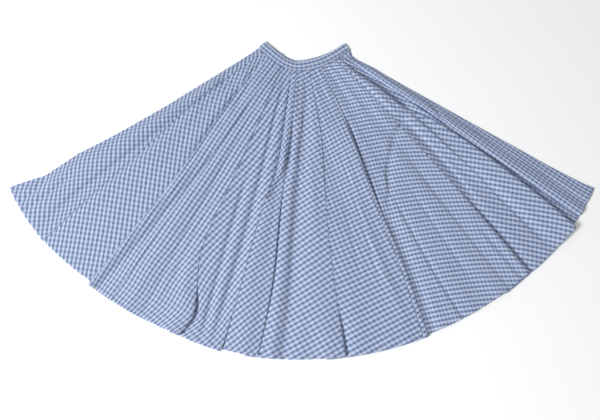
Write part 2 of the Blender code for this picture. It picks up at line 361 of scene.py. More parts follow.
PLEATS = (
    Pleat("left_soft", Line(-50.5, -50.4, -48.5, -47.3, -46.2), 1, Over.LEFT,
          NONE, 0.014, NONE, 0.020, 1.000, 0.998),
    Pleat("left_sharp", Line(-41.5, -38.6, -35.8, -35.6, -35.6), 1, Over.RIGHT,
          ((0.0, 0.0), (0.4, 0.0), (0.5, 0.002), (1.0, 0.002)), 0.006,
          ((0.0, 0.0), (0.3, 0.2), (0.5, 0.5), (0.7, 0.2), (1.0, 0.3)), 0.012, 0.990, 1.000),
    Pleat("middle_open", Path(((0.0, -20.5), (0.25, -20.4), (0.50, -20.9), (0.66, -21.2), (0.74, -20.8),
                               (0.80, -19.8), (0.86, -18.6), (0.93, -17.7), (1.0, -18.8))), 1, Over.LEFT,
          ((0.0, 0.0), (0.84, 0.0), (0.90, 0.005), (1.0, 0.008)), 0.008,
          ((0.0, 0.0), (0.84, 0.0), (0.88, 1.0), (1.0, 1.0)), 0.016, 1.001, 1.004),
    Pleat("middle_long", Path(((0.0, -9.0), (0.10, -8.4), (0.25, -8.0), (0.38, -8.1), (0.46, -9.2),
                               (0.55, -10.2), (0.75, -11.0), (1.0, -11.9))), 1, Over.LEFT,
          ((0.0, 0.0), (0.94, 0.0), (1.0, 0.002)), 0.008,
          ((0.0, 0.0), (0.08, 0.2), (0.36, 0.3), (0.44, 0.1), (0.9, 0.1), (1.0, 0.6)), 0.010, 1.013, 1.007),
    Pleat("middle_deep", Line(-3.2, -4.3, -5.2, -5.2, -6.3), 1, Over.LEFT,
          ((0.0, 0.0), (0.28, 0.0), (0.33, 0.003), (0.39, 0.003), (0.43, 0.001), (1.0, 0.001)), 0.008,
          ((0.0, 0.0), (0.27, 0.0), (0.33, 0.9), (0.39, 0.9), (0.44, 0.2), (0.54, 0.5), (0.80, 0.6),
           (0.88, 0.3), (1.0, 0.1)), 0.012, 1.010, 1.013),
    Pleat("right_low", Line(11.0, 9.8, 7.4, 6.8, 7.1), 1, Over.LEFT,
          ((0.0, 0.0), (0.86, 0.0), (1.0, 0.004)), 0.010,
          ((0.0, 0.0), (0.26, 0.0), (0.30, 0.15), (0.38, 0.15), (0.43, 0.0), (0.84, 0.0), (0.90, 0.7),
           (1.0, 0.9)), 0.024, 1.011, 1.015),
    Pleat("right_straight", Line(24.7, 23.0, 21.3, 20.9, 20.0), 1, Over.LEFT,
          ((0.0, 0.0), (0.20, 0.0), (0.27, 0.004), (0.50, 0.004), (0.58, 0.001), (1.0, 0.0)), 0.008,
          ((0.0, 0.0), (0.19, 0.0), (0.26, 0.9), (0.50, 1.0), (0.58, 0.3), (0.76, 0.0), (1.0, 0.0)),
          0.010, 1.014, 1.009),
    Pleat("right_broad", Line(42.0, 41.5, 40.6, 40.0, 39.3), 1, Over.LEFT,
          ((0.0, 0.0), (0.64, 0.0), (0.72, 0.002), (0.80, 0.005), (1.0, 0.006)), 0.012,
          ((0.0, 0.0), (0.64, 0.0), (0.74, 0.9), (1.0, 0.9)), 0.030, 1.007, 1.012),
    Pleat("side_roll", Path(((0.0, 46.2), (0.11, 46.9), (0.17, 47.5), (0.29, 47.9), (0.34, 49.2),
                             (0.40, 50.6), (0.52, 51.4), (0.76, 51.1), (0.90, 50.7), (1.0, 50.2))),
          2, Over.LEFT,
          ((0.0, 0.001), (0.06, 0.002), (0.12, 0.005), (0.28, 0.006), (0.34, 0.001), (0.54, 0.001),
           (0.64, 0.009), (0.90, 0.012), (1.0, 0.014)), 0.010,
          ((0.0, 0.8), (0.1, 1.0), (1.0, 1.0)), 0.010, 1.016, 1.010),
    Pleat("side_strip", Path(((0.0, 49.9), (0.11, 51.1), (0.20, 51.6), (0.29, 52.2), (0.36, 52.5),
                              (0.42, 52.5), (0.52, 52.3), (0.76, 52.2), (0.90, 52.2), (1.0, 52.2))),
          1, Over.RIGHT,
          ((0.0, 0.0), (0.2, 0.002), (0.6, 0.002), (1.0, 0.001)), 0.006,
          ((0.0, 0.5), (0.2, 0.8), (1.0, 0.8)), 0.008, 1.010, 1.010),
)

# Open panels between those pleats, left to right, with the grain along both edges.
PANELS = (
    Panel("left_side", Line(-72.0, -62.0, -61.0, -61.0, -61.0), Line(-62.0, -54.0, -53.0, -50.0, -49.0)),
    Panel("left_front", Line(-36.0, -35.0, -36.0, -37.0, -38.0), Line(-24.0, -23.5, -24.0, -26.0, -27.0)),
    Panel("seam_panel", Line(-10.0, -6.0, -4.0, -4.0, -5.0),
          Path(((0.0, 12.5), (0.25, 12.0), (0.5, 10.8), (0.66, 10.6), (0.74, 11.2), (0.86, 14.6),
                (1.0, 15.8)))),
    Panel("fluted", Line(13.0, 13.0, 14.0, 16.0, 19.0), Line(25.0, 24.5, 24.5, 25.5, 26.0)),
    Panel("middle_narrow", Line(37.0, 40.0, 42.0, 43.0, 42.0), Line(42.0, 45.0, 47.0, 49.0, 48.0)),
    Panel("middle", Line(58.0, 54.0, 54.0, 52.0, 52.0), Line(72.0, 67.0, 66.0, 63.0, 64.0)),
    Panel("right_middle", Line(74.0, 71.0, 71.0, 72.0, 70.0), Line(86.0, 86.0, 85.5, 85.0, 83.0)),
    Panel("right_front", Line(93.0, 94.0, 94.0, 95.0, 94.0), Line(121.0, 120.0, 121.0, 121.0, 121.0)),
    Panel("right_rolled", Line(121.5, 126.0, 131.0, 134.5, 135.5), Line(127.0, 133.0, 142.5, 146.0, 147.0)),
    Panel("right_hidden", Line(160.0, 162.0, 165.0, 166.0, 166.0), Line(165.0, 167.0, 168.0, 168.0, 168.5)),
    Panel("right_strip", Line(176.0, 179.0, 180.0, 180.3, 180.3), Line(184.0, 186.5, 186.5, 186.5, 186.8)),
)

# Seams that show on the front, left to right, and the bearing of the one in the back.
FRONT_SEAMS = (
    Line(-29.6, -29.9, -30.7, -30.8, -31.0),
    Line(24.2, 22.5, 20.6, 20.2, 19.3),
    Line(54.6, 55.3, 55.4, 55.2, 55.0),
)
BACK_SEAM = -27.0


class EdgeRow(NamedTuple):
    """Where both side edges are at one fraction.

    Attributes:
        fraction: Fraction of the way from the waist to the hem.
        left: Bearing of the left-hand edge.
        right: Bearing of the right-hand one.
    """

    fraction: float
    left: float
    right: float


SIDE_EDGES = (
    EdgeRow(0.00, -58.2, 61.8),
    EdgeRow(0.014, -57.7, 59.6),
    EdgeRow(0.026, -57.3, 57.2),
    EdgeRow(0.05, -56.8, 56.4),
    EdgeRow(0.08, -56.5, 56.8),
    EdgeRow(0.12, -56.2, 57.1),
    EdgeRow(0.20, -55.9, 56.8),
    EdgeRow(0.40, -55.6, 57.1),
    EdgeRow(0.62, -56.1, 57.3),
    EdgeRow(0.75, -56.7, 57.4),
    EdgeRow(0.82, -56.4, 57.4),
    EdgeRow(0.88, -56.2, 57.5),
    EdgeRow(0.92, -56.8, 57.6),
    EdgeRow(0.96, -57.3, 57.7),
    EdgeRow(1.00, -57.7, 58.0),
)
HEM_RADIUS = {Side.LEFT: 0.996, Side.RIGHT: 1.009}


class BandRow(NamedTuple):
    """The waistband at one bearing.

    Attributes:
        bearing: Bearing of its sewn edge.
        front: Radius of that edge in front.
        behind: Radius of that edge behind.
        width: Radial width.
        turn: Degrees by which its top edge is turned on from the sewn one.
    """

    bearing: float
    front: float
    behind: float
    width: float
    turn: float


BAND_ROWS = (
    BandRow(-58.0, 0.149, 0.149, 0.029, -3.0),
    BandRow(-45.0, 0.144, 0.141, 0.029, -1.0),
    BandRow(-30.0, 0.147, 0.142, 0.029, 0.0),
    BandRow(-15.0, 0.154, 0.147, 0.028, 0.0),
    BandRow(-5.0, 0.158, 0.150, 0.028, 0.0),
    BandRow(5.0, 0.158, 0.151, 0.030, 0.0),
    BandRow(17.0, 0.158, 0.153, 0.032, 0.0),
    BandRow(32.0, 0.160, 0.156, 0.031, 0.0),
    BandRow(47.0, 0.166, 0.164, 0.029, 1.5),
    BandRow(56.0, 0.174, 0.174, 0.0265, 3.5),
    BandRow(60.7, 0.180, 0.180, 0.0245, 5.0),
)

# Named creases of the front, left to right.
CREASES = (
    # left side
    Crease("left_top_roll", ((0.03, -57.0), (0.09, -56.0), (0.19, -55.2)), 0.009, 0.005, 0.3),
    Crease("left_top_hollow", ((0.02, -54.6), (0.07, -54.2), (0.13, -53.8), (0.19, -53.0)), 0.011, -0.012),
    Crease("left_loft", ((0.10, -53.5), (0.50, -52.6), (1.00, -52.4)), 0.050, 0.0045),
    Crease("left_mid_hollow", ((0.14, -50.2), (0.22, -49.8), (0.31, -49.6)), 0.009, -0.008),
    Crease("left_trough", ((0.32, -50.2), (0.50, -50.0), (0.75, -49.7), (0.92, -49.4)), 0.015, -0.010),
    Crease("left_second_trough", ((0.44, -48.8), (0.60, -48.0), (0.76, -47.6), (0.84, -47.3)), 0.008, -0.004),
    Crease("left_crest", ((0.30, -53.4), (0.70, -53.2), (1.00, -53.4)), 0.030, 0.003),
    Crease("left_spot", ((0.02, -42.6), (0.06, -42.6), (0.12, -42.2)), 0.01, -0.009),
    Crease("left_inner_trough", ((0.12, -46.8), (0.22, -46.4), (0.36, -45.8)), 0.010, -0.006),
    Crease("left_fan_crest", ((0.50, -43.0), (0.80, -42.0), (1.00, -41.6)), 0.035, 0.003),
    Crease("corner_first", ((0.86, -56.4), (0.92, -55.0), (1.00, -54.4)), 0.009, -0.005),
    Crease("corner_second", ((0.80, -53.4), (0.90, -52.8), (1.00, -52.6)), 0.008, -0.005),
    Crease("left_fan_line", ((0.45, -40.8), (0.80, -40.2)), 0.006, -0.002),
    Crease("left_slack", ((0.17, -40.6), (0.27, -38.6), (0.36, -37.4), (0.45, -36.6)), 0.008, -0.008),
    Crease("slack_first", ((0.13, -38.0), (0.19, -36.2), (0.25, -35.0)), 0.006, -0.006),
    Crease("slack_second", ((0.20, -39.6), (0.27, -37.4), (0.32, -35.6)), 0.005, -0.005),
    Crease("slack_third", ((0.30, -39.4), (0.36, -37.2), (0.43, -35.4)), 0.005, -0.005),
    # left of the middle
    Crease("double_upper", ((0.20, -29.4), (0.36, -30.0)), 0.008, -0.004),
    Crease("double_crease", ((0.40, -30.6), (0.53, -31.5), (0.65, -32.5), (0.77, -33.2), (0.90, -33.9),
                             (1.00, -34.3)), 0.010, -0.009),
    Crease("double_crest", ((0.50, -33.6), (0.70, -34.6), (1.00, -35.1)), 0.006, 0.005),
    Crease("seam_ridge", ((0.50, -30.0), (0.75, -31.0), (0.95, -31.2)), 0.007, 0.001),
    Crease("panel_line", ((0.42, -25.8), (0.75, -26.0), (1.00, -25.8)), 0.008, -0.002),
    Crease("panel_crest", ((0.20, -27.8), (0.60, -28.2), (1.00, -28.4)), 0.022, 0.002),
    Crease("bright_top_line", ((0.00, -23.4), (0.06, -24.8), (0.12, -27.0)), 0.005, 0.004),
    Crease("bright_fold_hollow", ((0.50, -24.0), (0.70, -24.2), (0.90, -24.0)), 0.012, -0.0025),
    Crease("flute_crest", ((0.55, -22.6), (0.68, -22.6), (0.80, -22.0), (0.90, -20.6), (1.00, -20.4)),
           0.012, 0.001),
    Crease("flute_side", ((0.47, -17.4), (0.58, -16.9), (0.70, -16.5), (0.85, -16.1), (0.95, -15.8)),
           0.008, -0.007),
    Crease("flute_side_crest", ((0.45, -15.4), (0.65, -15.1), (0.90, -14.9)), 0.009, 0.001),
    Crease("long_trough", ((0.05, -14.4), (0.17, -14.0), (0.34, -13.3), (0.64, -13.3), (0.82, -13.6),
                           (0.92, -13.8)), 0.009, -0.0075),
    Crease("long_crest", ((0.06, -11.4), (0.30, -11.0), (0.60, -11.9)), 0.012, 0.0015),
    # middle
    Crease("middle_dark_band", ((0.06, -8.8), (0.20, -8.6), (0.32, -8.6), (0.42, -8.4)), 0.008, -0.003),
    Crease("middle_top_crest", ((0.08, -5.6), (0.25, -6.3), (0.38, -6.6)), 0.010, 0.003),
    Crease("middle_crest", ((0.45, -7.6), (0.70, -8.4), (1.00, -9.2)), 0.030, 0.003),
    Crease("deep_hollow", ((0.22, -3.6), (0.30, -4.2), (0.37, -4.8), (0.43, -6.2)), 0.008, -0.007),
    Crease("deep_tail", ((0.36, -4.8), (0.41, -6.2), (0.45, -7.6), (0.48, -9.0)), 0.01, -0.01),
    Crease("deep_ridge", ((0.15, -1.4), (0.40, -2.6), (0.70, -3.4), (1.00, -4.3)), 0.012, 0.003),
    Crease("middle_trough", ((0.22, 1.0), (0.33, -0.2), (0.43, -1.0), (0.60, -1.8), (0.76, -2.1),
                             (1.00, -3.0)), 0.016, -0.0050),
    Crease("middle_upper_trough", ((0.02, 4.8), (0.09, 3.4), (0.17, 2.0), (0.25, 0.6), (0.34, -0.4)),
           0.015, -0.0050, -0.1),
    Crease("middle_right_crest", ((0.10, 6.0), (0.30, 3.4), (0.60, 2.8), (1.00, 2.4)), 0.028, 0.0008),
    # right of the middle
    Crease("right_crest", ((0.50, 10.8), (0.75, 10.4), (1.00, 10.4)), 0.028, 0.002),
    Crease("right_faint_line", ((0.48, 12.2), (0.75, 11.9)), 0.006, -0.0015),
    Crease("right_line", ((0.28, 15.5), (0.50, 15.3), (0.75, 15.2)), 0.007, -0.0025),
    Crease("straight_tail", ((0.60, 21.6), (0.80, 21.4), (1.00, 20.7)), 0.014, -0.007, 0.2),
    Crease("upper_line", ((0.03, 28.3), (0.10, 28.3), (0.18, 28.3)), 0.009, -0.002, -0.2),
    Crease("upper_second_line", ((0.09, 37.0), (0.16, 37.0), (0.24, 37.0)), 0.007, -0.002),
    Crease("upper_crest", ((0.06, 32.5), (0.20, 31.8), (0.34, 30.5)), 0.016, 0.0006),
    Crease("drag_crease", ((0.30, 47.5), (0.325, 44.0), (0.345, 40.0), (0.365, 36.0), (0.40, 32.0),
                           (0.44, 28.5), (0.475, 26.5), (0.52, 25.0), (0.555, 23.0)), 0.009, -0.006, -0.25),
    Crease("drag_tail", ((0.57, 25.5), (0.70, 25.4), (0.84, 25.5), (1.00, 26.0)), 0.006, -0.0035),
    Crease("right_panel_crest", ((0.50, 28.2), (0.75, 28.0), (1.00, 28.2)), 0.026, 0.0015),
    Crease("right_faint_trough", ((0.57, 30.5), (0.88, 30.4)), 0.006, -0.002),
    Crease("right_thin_line", ((0.52, 35.2), (0.70, 35.0), (1.00, 34.8)), 0.006, -0.002),
    Crease("right_wide_line", ((0.80, 37.6), (0.90, 37.5), (1.00, 37.4)), 0.009, -0.004),
    # right side
    Crease("side_line", ((0.31, 47.8), (0.41, 47.3), (0.52, 46.6), (0.64, 46.0), (0.76, 45.3),
                         (0.94, 44.6)), 0.010, -0.0045, -0.3),
    Crease("broad_wedge", ((0.33, 43.3), (0.41, 43.0), (0.50, 42.5), (0.60, 41.9), (0.70, 41.0)),
           0.019, -0.0065, 1.15),
    Crease("broad_shoulder", ((0.33, 41.3), (0.50, 40.9), (0.70, 40.0)), 0.018, 0.006),
    Crease("side_shelf", ((0.02, 41.5), (0.10, 41.5), (0.20, 41.5), (0.30, 41.0)), 0.040, 0.006),
    Crease("side_ease", ((0.04, 43.6), (0.12, 44.0), (0.20, 44.2), (0.30, 44.6)), 0.011, -0.004),
    Crease("side_hollow", ((0.08, 47.4), (0.14, 48.0), (0.22, 48.5), (0.29, 49.4)), 0.010, -0.012),
    Crease("side_top_line", ((0.088, 44.5), (0.092, 47.0), (0.096, 49.0)), 0.005, -0.006),
    Crease("strip_crest", ((0.24, 53.4), (0.60, 53.0), (1.00, 52.9)), 0.015, 0.004),
    Crease("strip_trough", ((0.43, 55.6), (0.60, 55.0), (0.80, 54.7), (1.00, 54.4)), 0.010, -0.002),
    Crease("strip_crossing", ((0.36, 55.6), (0.39, 54.4), (0.43, 52.8)), 0.006, -0.005),
)

# Slow swells of the floor-side cloth, which every layer above follows.
SWELLS = (
    Crease("swell_a", ((0.15, -44.0), (0.60, -45.5), (1.00, -44.5)), 0.020, 0.0025),
    Crease("swell_b", ((0.30, -27.5), (0.70, -29.0), (1.00, -28.0)), 0.014, 0.0020),
    Crease("swell_c", ((0.10, -11.0), (0.45, -9.5), (0.85, -10.5)), 0.018, 0.0028),
    Crease("swell_d", ((0.40, 4.0), (0.70, 5.5), (1.00, 4.8)), 0.024, 0.0022),
    Crease("swell_e", ((0.20, 17.0), (0.60, 16.0), (0.90, 17.5)), 0.012, 0.0024),
    Crease("swell_f", ((0.35, 33.0), (0.75, 32.0), (1.00, 33.0)), 0.022, 0.0026),
    Crease("swell_g", ((0.10, 46.0), (0.50, 47.5), (0.95, 46.5)), 0.016, 0.0020),
)


@dataclass(frozen=True)
class Cone:
    """Sizes of the laid cloth that every piece of it shares.

    Attributes:
        cloth_length: Length of the cloth from waist to hem.
        wall: Thickness of the cloth.
        floor_gap: Gap between the cloth and the floor.
        seam_gap: Gap between two pieces.
        pitch_waist: Distance between the middles of two layers at the waist.
        pitch_skirt: The same distance in the skirt.
        pitch_reach: Fraction from which the skirt's distance holds.
        tuck: How far the gores reach under the sewn edge of the band.
        sewn_reach: Fraction up to which the band holds pleats down.
        cover_fade: Width over which a hollow ends under the cloth that covers it.
    """

    cloth_length: float = 0.85
    wall: float = 0.0004
    floor_gap: float = 0.0004
    seam_gap: float = 0.0002
    pitch_waist: float = 0.0005
    pitch_skirt: float = 0.0007
    pitch_reach: float = 0.30
    tuck: float = 0.003
    sewn_reach: float = 0.05
    cover_fade: float = 0.012

    def apex(self) -> Vector:
        """Works the cone's point out from the frame's boxes.

        Returns:
            The point, on the floor.
        """
        tip = BAND_ROWS[0]
        hem_corner = HEM_RADIUS[Side.LEFT] * math.sin(math.radians(SIDE_EDGES[-1].left))
        band_tip = (tip.front - tip.width) * math.cos(math.radians(tip.bearing + tip.turn))
        return Vector((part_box("gore_left")[0].x - hem_corner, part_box("waistband")[1].y + band_tip, 0.0))

    def bottom(self) -> float:
        """Gives the height of the middle of the back where it lies flat."""
        return self.floor_gap + self.wall / 2.0

    def pitch(self, fractions: Array) -> Array:
        """Gives the distance between the middles of two layers."""
        return mix(self.pitch_waist, self.pitch_skirt, ease(fractions / self.pitch_reach))

    def radius(self, bearings: Array, fractions: Array, reach: Array | float = 1.0,
               back: Array | float = 0.0) -> Array:
        """Gives the distance of places from the cone's point.

        Args:
            bearings: Bearings of the places.
            fractions: Their fractions.
            reach: Radius of the hem there.
            back: 1 where they belong to the back, 0 where they belong to the front.

        Returns:
            A radius for each place.
        """
        band = BandRow(*np.array(BAND_ROWS).T)
        front = np.interp(bearings, band.bearing, band.front)
        behind = np.interp(bearings, band.bearing, band.behind)
        return mix(mix(front, behind, back) - self.tuck, reach, fractions)

    def side(self, side: Side, fractions: Array) -> Array:
        """Gives the bearing of a side edge."""
        edges = EdgeRow(*np.array(SIDE_EDGES).T)
        return np.interp(fractions, edges.fraction, edges.left if side is Side.LEFT else edges.right)

    def points(self, radii: Array, angles: Array, heights: Array) -> Array:
        """Gives points with three coordinates.

        Args:
            radii: Distances from the cone's point.
            angles: Angles there, in radians.
            heights: Heights over the floor.

        Returns:
            The points, with one more axis than the arrays given.
        """
        apex = self.apex()
        return np.stack([apex.x + radii * np.sin(angles), apex.y - radii * np.cos(angles), heights], axis=-1)


CONE = Cone()


@dataclass(frozen=True)
class Gathers:
    """Short uneven folds where the cloth is sewn to the waistband.

    Attributes:
        count: Number of folds.
        span: Bearings between which they are spread.
        place: Smallest and largest share of its even step where a fold stands.
        width: Smallest and largest half width.
        height: Smallest and largest height.
        reach: Smallest and largest fraction that they run down to.
        drift: Largest change of bearing on the way down.
        seed: Start of the random draws.
    """

    count: int = 30
    span: tuple[float, float] = (-56.0, 56.0)
    place: tuple[float, float] = (0.1, 0.9)
    width: tuple[float, float] = (0.0030, 0.0050)
    height: tuple[float, float] = (0.0006, 0.0018)
    reach: tuple[float, float] = (0.06, 0.24)
    drift: float = 1.2
    seed: int = 11

    def creases(self) -> list[Crease]:
        """Draws the gathers.

        Returns:
            The gathers as creases, left to right.
        """
        draw = random.Random(self.seed)
        made = []
        for number in range(self.count):
            bearing = mix(*self.span, (number + draw.uniform(*self.place)) / self.count)
            reach = draw.uniform(*self.reach)
            path = ((0.0, bearing), (reach, bearing + draw.uniform(-self.drift, self.drift)))
            width = draw.uniform(*self.width)
            made.append(Crease(f"gather_{number}", path, width, draw.uniform(*self.height)))
        return made


@dataclass(frozen=True)
class Ripples:
    """Faint waves of the whole cloth between its named creases.

    Attributes:
        lengths: Wave lengths in degrees.
        height: Height of one wave.
        turn: Largest phase that is drawn.
        drift: Largest change of phase from waist to hem.
        beat: Least and largest number that sets how often a wave swells and fades.
        strength: Middle and swing of a wave's strength.
        spread: Degrees over which the strength changes.
        seed: Start of the random draws.
    """

    lengths: tuple[float, ...] = (1.7, 2.3, 3.1, 4.3, 6.1, 8.9)
    height: float = 0.0006
    turn: float = 6.28
    drift: float = 2.5
    beat: tuple[float, float] = (2.0, 5.0)
    strength: tuple[float, float] = (0.55, 0.45)
    spread: float = 23.0
    seed: int = 5

    def relief(self, places: Places) -> Array:
        """Gives the waves' height.

        Args:
            places: Places on the cloth.

        Returns:
            A height for each place.
        """
        draw = random.Random(self.seed)
        total = np.zeros_like(places.radii)
        for length in self.lengths:
            phase = draw.uniform(0.0, self.turn)
            drift = draw.uniform(-self.drift, self.drift)
            beat = draw.uniform(*self.beat)
            start = draw.uniform(0.0, self.turn)
            wave = np.sin(2.0 * math.pi * places.bearings / length + phase + drift * places.fractions)
            swing = np.sin(beat * places.fractions + start + places.bearings / self.spread)
            strength = self.strength[0] + self.strength[1] * swing
            total += wave * strength * math.sqrt(length / self.lengths[-1])
        return self.height * total


@dataclass
class Surface:
    """Creases and waves of the laid cloth.

    Attributes:
        loft: Height of the cloth's bulge over what lies below.
        loft_reach: Fraction from which the bulge has its height.
        dome: Strength of the bulge in the middle, and what it loses towards the sides.
        half_fan: Bearing at which it has lost that.
        rounding: Height below which troughs flatten out.
        press: Width of the flat strip beside a side edge, at the waist and in the skirt.
        press_reach: Fraction from which the skirt's width holds.
        sewn_press: Fraction over which waves come up from the waist seam.
        settle_reach: Fraction over which slow swells come up from the waist.
        ripples: Faint waves of the whole cloth.
        creases: Named creases and gathers.
    """

    loft: float = 0.0052
    loft_reach: float = 0.14
    dome: tuple[float, float] = (1.25, 0.5)
    half_fan: float = 58.0
    rounding: float = 0.0008
    press: tuple[float, float] = (0.010, 0.035)
    press_reach: float = 0.35
    sewn_press: float = 0.012
    settle_reach: float = 0.3
    ripples: Ripples = field(default_factory=Ripples)
    creases: list[Crease] = field(default_factory=lambda: [*CREASES, *Gathers().creases()])

    def settle(self, places: Places) -> Array:
        """Gives the gentle unevenness that all the layers share."""
        total = sum((swell.relief(places) for swell in SWELLS), np.zeros_like(places.radii))
        return total * ease(places.fractions / self.settle_reach)

    def waves(self, places: Places) -> Array:
        """Gives the height of bulge, creases and ripples together, which is never below 0.

        Args:
            places: Places on the cloth.

        Returns:
            A height for each place.
        """
        f = places.fractions
        dome = self.dome[0] - self.dome[1] * (places.bearings / self.half_fan) ** 2
        total = self.loft * dome * ease(f / self.loft_reach)
        total = total + self.ripples.relief(places)
        for crease in self.creases:
            total = total + crease.relief(places)
        from_left = places.right_of(CONE.side(Side.LEFT, f))
        from_right = -places.right_of(CONE.side(Side.RIGHT, f))
        press = mix(*self.press, ease(f / self.press_reach))
        pressed = ease(np.minimum(from_left, from_right) / press) * ease(f / self.sewn_press)
        return self.rounding * np.logaddexp(0.0, total / self.rounding) * pressed

    def hollows(self, places: Places, bridged: Pleat | None = None) -> Array:
        """Gives the share of the waves that the pleats' hollows leave.

        Args:
            places: Places on the cloth.
            bridged: Pleat whose hollow the cloth goes over.

        Returns:
            A share for each place.
        """
        share = np.ones_like(places.radii)
        for pleat in PLEATS:
            if pleat is not bridged:
                share = share * pleat.sunk(places)
        return share


@dataclass
class LaidCloth:
    """The whole laid cloth: turns pleats, creases and edges into strips of columns.

    Attributes:
        rings: Fractions of the rings, from the waist to the hem.
        front_step: Degrees between two columns of an open panel.
        back_step: Degrees between two columns of the back.
        nose_points: Columns round a fold.
        hidden_columns: Columns of a hidden layer between two folds.
        widest_return: Most degrees that a return reaches under its top layer.
        least_return: Fewest degrees that it reaches.
        covered_share: Most of the covering panel's width that a return takes.
        set_in: How far a lower fold stands back from the one that shows.
        nose_share: Reach of a fold's round, as a share of the distance between layers.
        lift_share: What it reaches further, as a share of the edge's lift.
        side_share: Reach of a side edge's round, as a share of its height.
        edge_share: Share of its lift that a top cloth keeps at its very edge.
        lift_width: Width over which a lifted edge comes down again.
        rise: Width over which a panel climbs on to the layers below it.
        rise_share: Most of a panel's width that such a climb takes.
        side_lift: Height of the swelling beside a side edge.
        side_reach: Fraction from which that swelling has its height.
        back_tuck: How far the hem of the back is inside the front's.
        back_tuck_width: Degrees over which it goes in.
        surface: Creases and waves of the cloth.
    """

    rings: Array
    front_step: float = 0.22
    back_step: float = 0.55
    nose_points: int = 7
    hidden_columns: int = 14
    widest_return: float = 5.3
    least_return: float = 0.3
    covered_share: float = 0.4
    set_in: float = 0.003
    nose_share: float = 0.7
    lift_share: float = 0.30
    side_share: float = 0.6
    edge_share: float = 0.35
    lift_width: float = 0.075
    rise: float = 0.030
    rise_share: float = 0.5
    side_lift: float = 0.0015
    side_reach: float = 0.25
    back_tuck: float = 0.012
    back_tuck_width: float = 8.0
    surface: Surface = field(default_factory=Surface)

    def fractions(self) -> Array:
        """Gives the rings' fractions as a column."""
        return self.rings[:, None]

    def places(self, bearings: Array) -> Places:
        """Gives the places where columns cross the rings."""
        return Places(bearings, self.fractions(), CONE.radius(bearings, self.fractions()))

    def edge_line(self, pleat: Pleat | None, side: Side) -> Array:
        """Gives the bearing of a pleat's edge, or of a side edge where there is no pleat."""
        f = self.fractions()
        return CONE.side(side, f) if pleat is None else pleat.edge.at(f)

    def form(self, bearings: Array) -> Array:
        """Gives the height that all layers of the front share."""
        places = self.places(bearings)
        return self.surface.settle(places) + self.surface.waves(places) * self.surface.hollows(places)

    def inset(self, pleat: Pleat) -> Array:
        """Gives how far the round of a pleat's edge reaches sideways."""
        f = self.fractions()
        return self.nose_share * CONE.pitch(f) + self.lift_share * pleat.lift_at(f)

    def hidden_width(self, pleat: Pleat) -> Array:
        """Works out how far a pleat's returns reach under the top layer.

        Args:
            pleat: The pleat.

        Returns:
            Degrees for each ring.
        """
        f = self.fractions()
        number = PLEATS.index(pleat)
        intake = PANELS[number + 1].left.at(f) - PANELS[number].right.at(f)
        neighbours = (None, *PLEATS, None)
        if pleat.over is Over.RIGHT:
            beyond = self.edge_line(neighbours[number + 2], Side.RIGHT)
        else:
            beyond = self.edge_line(neighbours[number], Side.LEFT)
        room = np.minimum(self.widest_return, self.covered_share * np.abs(pleat.edge.at(f) - beyond))
        return np.clip(intake / (2.0 * pleat.returns), self.least_return, room)

    def panel_limits(self, left: Pleat | None, right: Pleat | None) -> tuple[Array, Array]:
        """Gives the bearings between which a panel runs.

        Args:
            left: Pleat at the panel's left, or None at the side edge.
            right: Pleat at its right, or None.

        Returns:
            Bearings of its first and its last column.
        """
        start, end = self.edge_line(left, Side.LEFT), self.edge_line(right, Side.RIGHT)
        if left is not None and left.over is Over.RIGHT:
            start = start + np.degrees(self.inset(left) / CONE.radius(start, self.fractions()))
        if right is not None and right.over is Over.LEFT:
            end = end - np.degrees(self.inset(right) / CONE.radius(end, self.fractions()))
        return start, end

    def edge_profile(self, pleat: Pleat, away: Array) -> Array:
        """Gives the lift of a pleat's top cloth.

        Args:
            pleat: The pleat.
            away: Distances from its edge.

        Returns:
            A lift for each distance.
        """
        falling = 1.0 - ease((away - pleat.roll) / self.lift_width)
        rolling = mix(self.edge_share, 1.0, np.sin(0.5 * math.pi * np.clip(away / pleat.roll, 0.0, 1.0)))
        return pleat.lift_at(self.fractions()) * falling * rolling

    def panel_height(self, left: Pleat | None, right: Pleat | None, bearings: Array) -> Array:
        """Gives the height of a panel's columns.

        Args:
            left: Pleat at the panel's left, or None at the side edge.
            right: Pleat at its right, or None.
            bearings: Bearings of the columns, a row for each ring.

        Returns:
            Heights of the middle of the cloth.
        """
        f = self.fractions()
        places = self.places(bearings)
        waves, shared = self.surface.waves(places), self.surface.hollows(places)
        from_left = places.right_of(self.edge_line(left, Side.LEFT))
        from_right = -places.right_of(self.edge_line(right, Side.RIGHT))
        rise = np.minimum(self.rise, self.rise_share * (from_left + from_right))
        added = np.zeros_like(places.radii)
        for pleat, over, away, other_side in ((left, Over.RIGHT, from_left, from_right),
                                              (right, Over.LEFT, from_right, from_left)):
            if pleat is None:
                added += self.side_lift * ease(f / self.side_reach) * (1.0 - ease(away / self.lift_width))
            elif pleat.over is over:
                mine = waves * (self.surface.hollows(places, pleat) - shared)
                covered = np.radians(self.hidden_width(pleat)) * places.radii + self.set_in
                mine += 2.0 * pleat.returns * CONE.pitch(f) * (1.0 - ease((away - covered) / rise))
                mine += self.edge_profile(pleat, away)
                added += mine * ease(other_side / rise)
        return CONE.bottom() + CONE.pitch(f) + (self.surface.settle(places) + waves * shared) + added

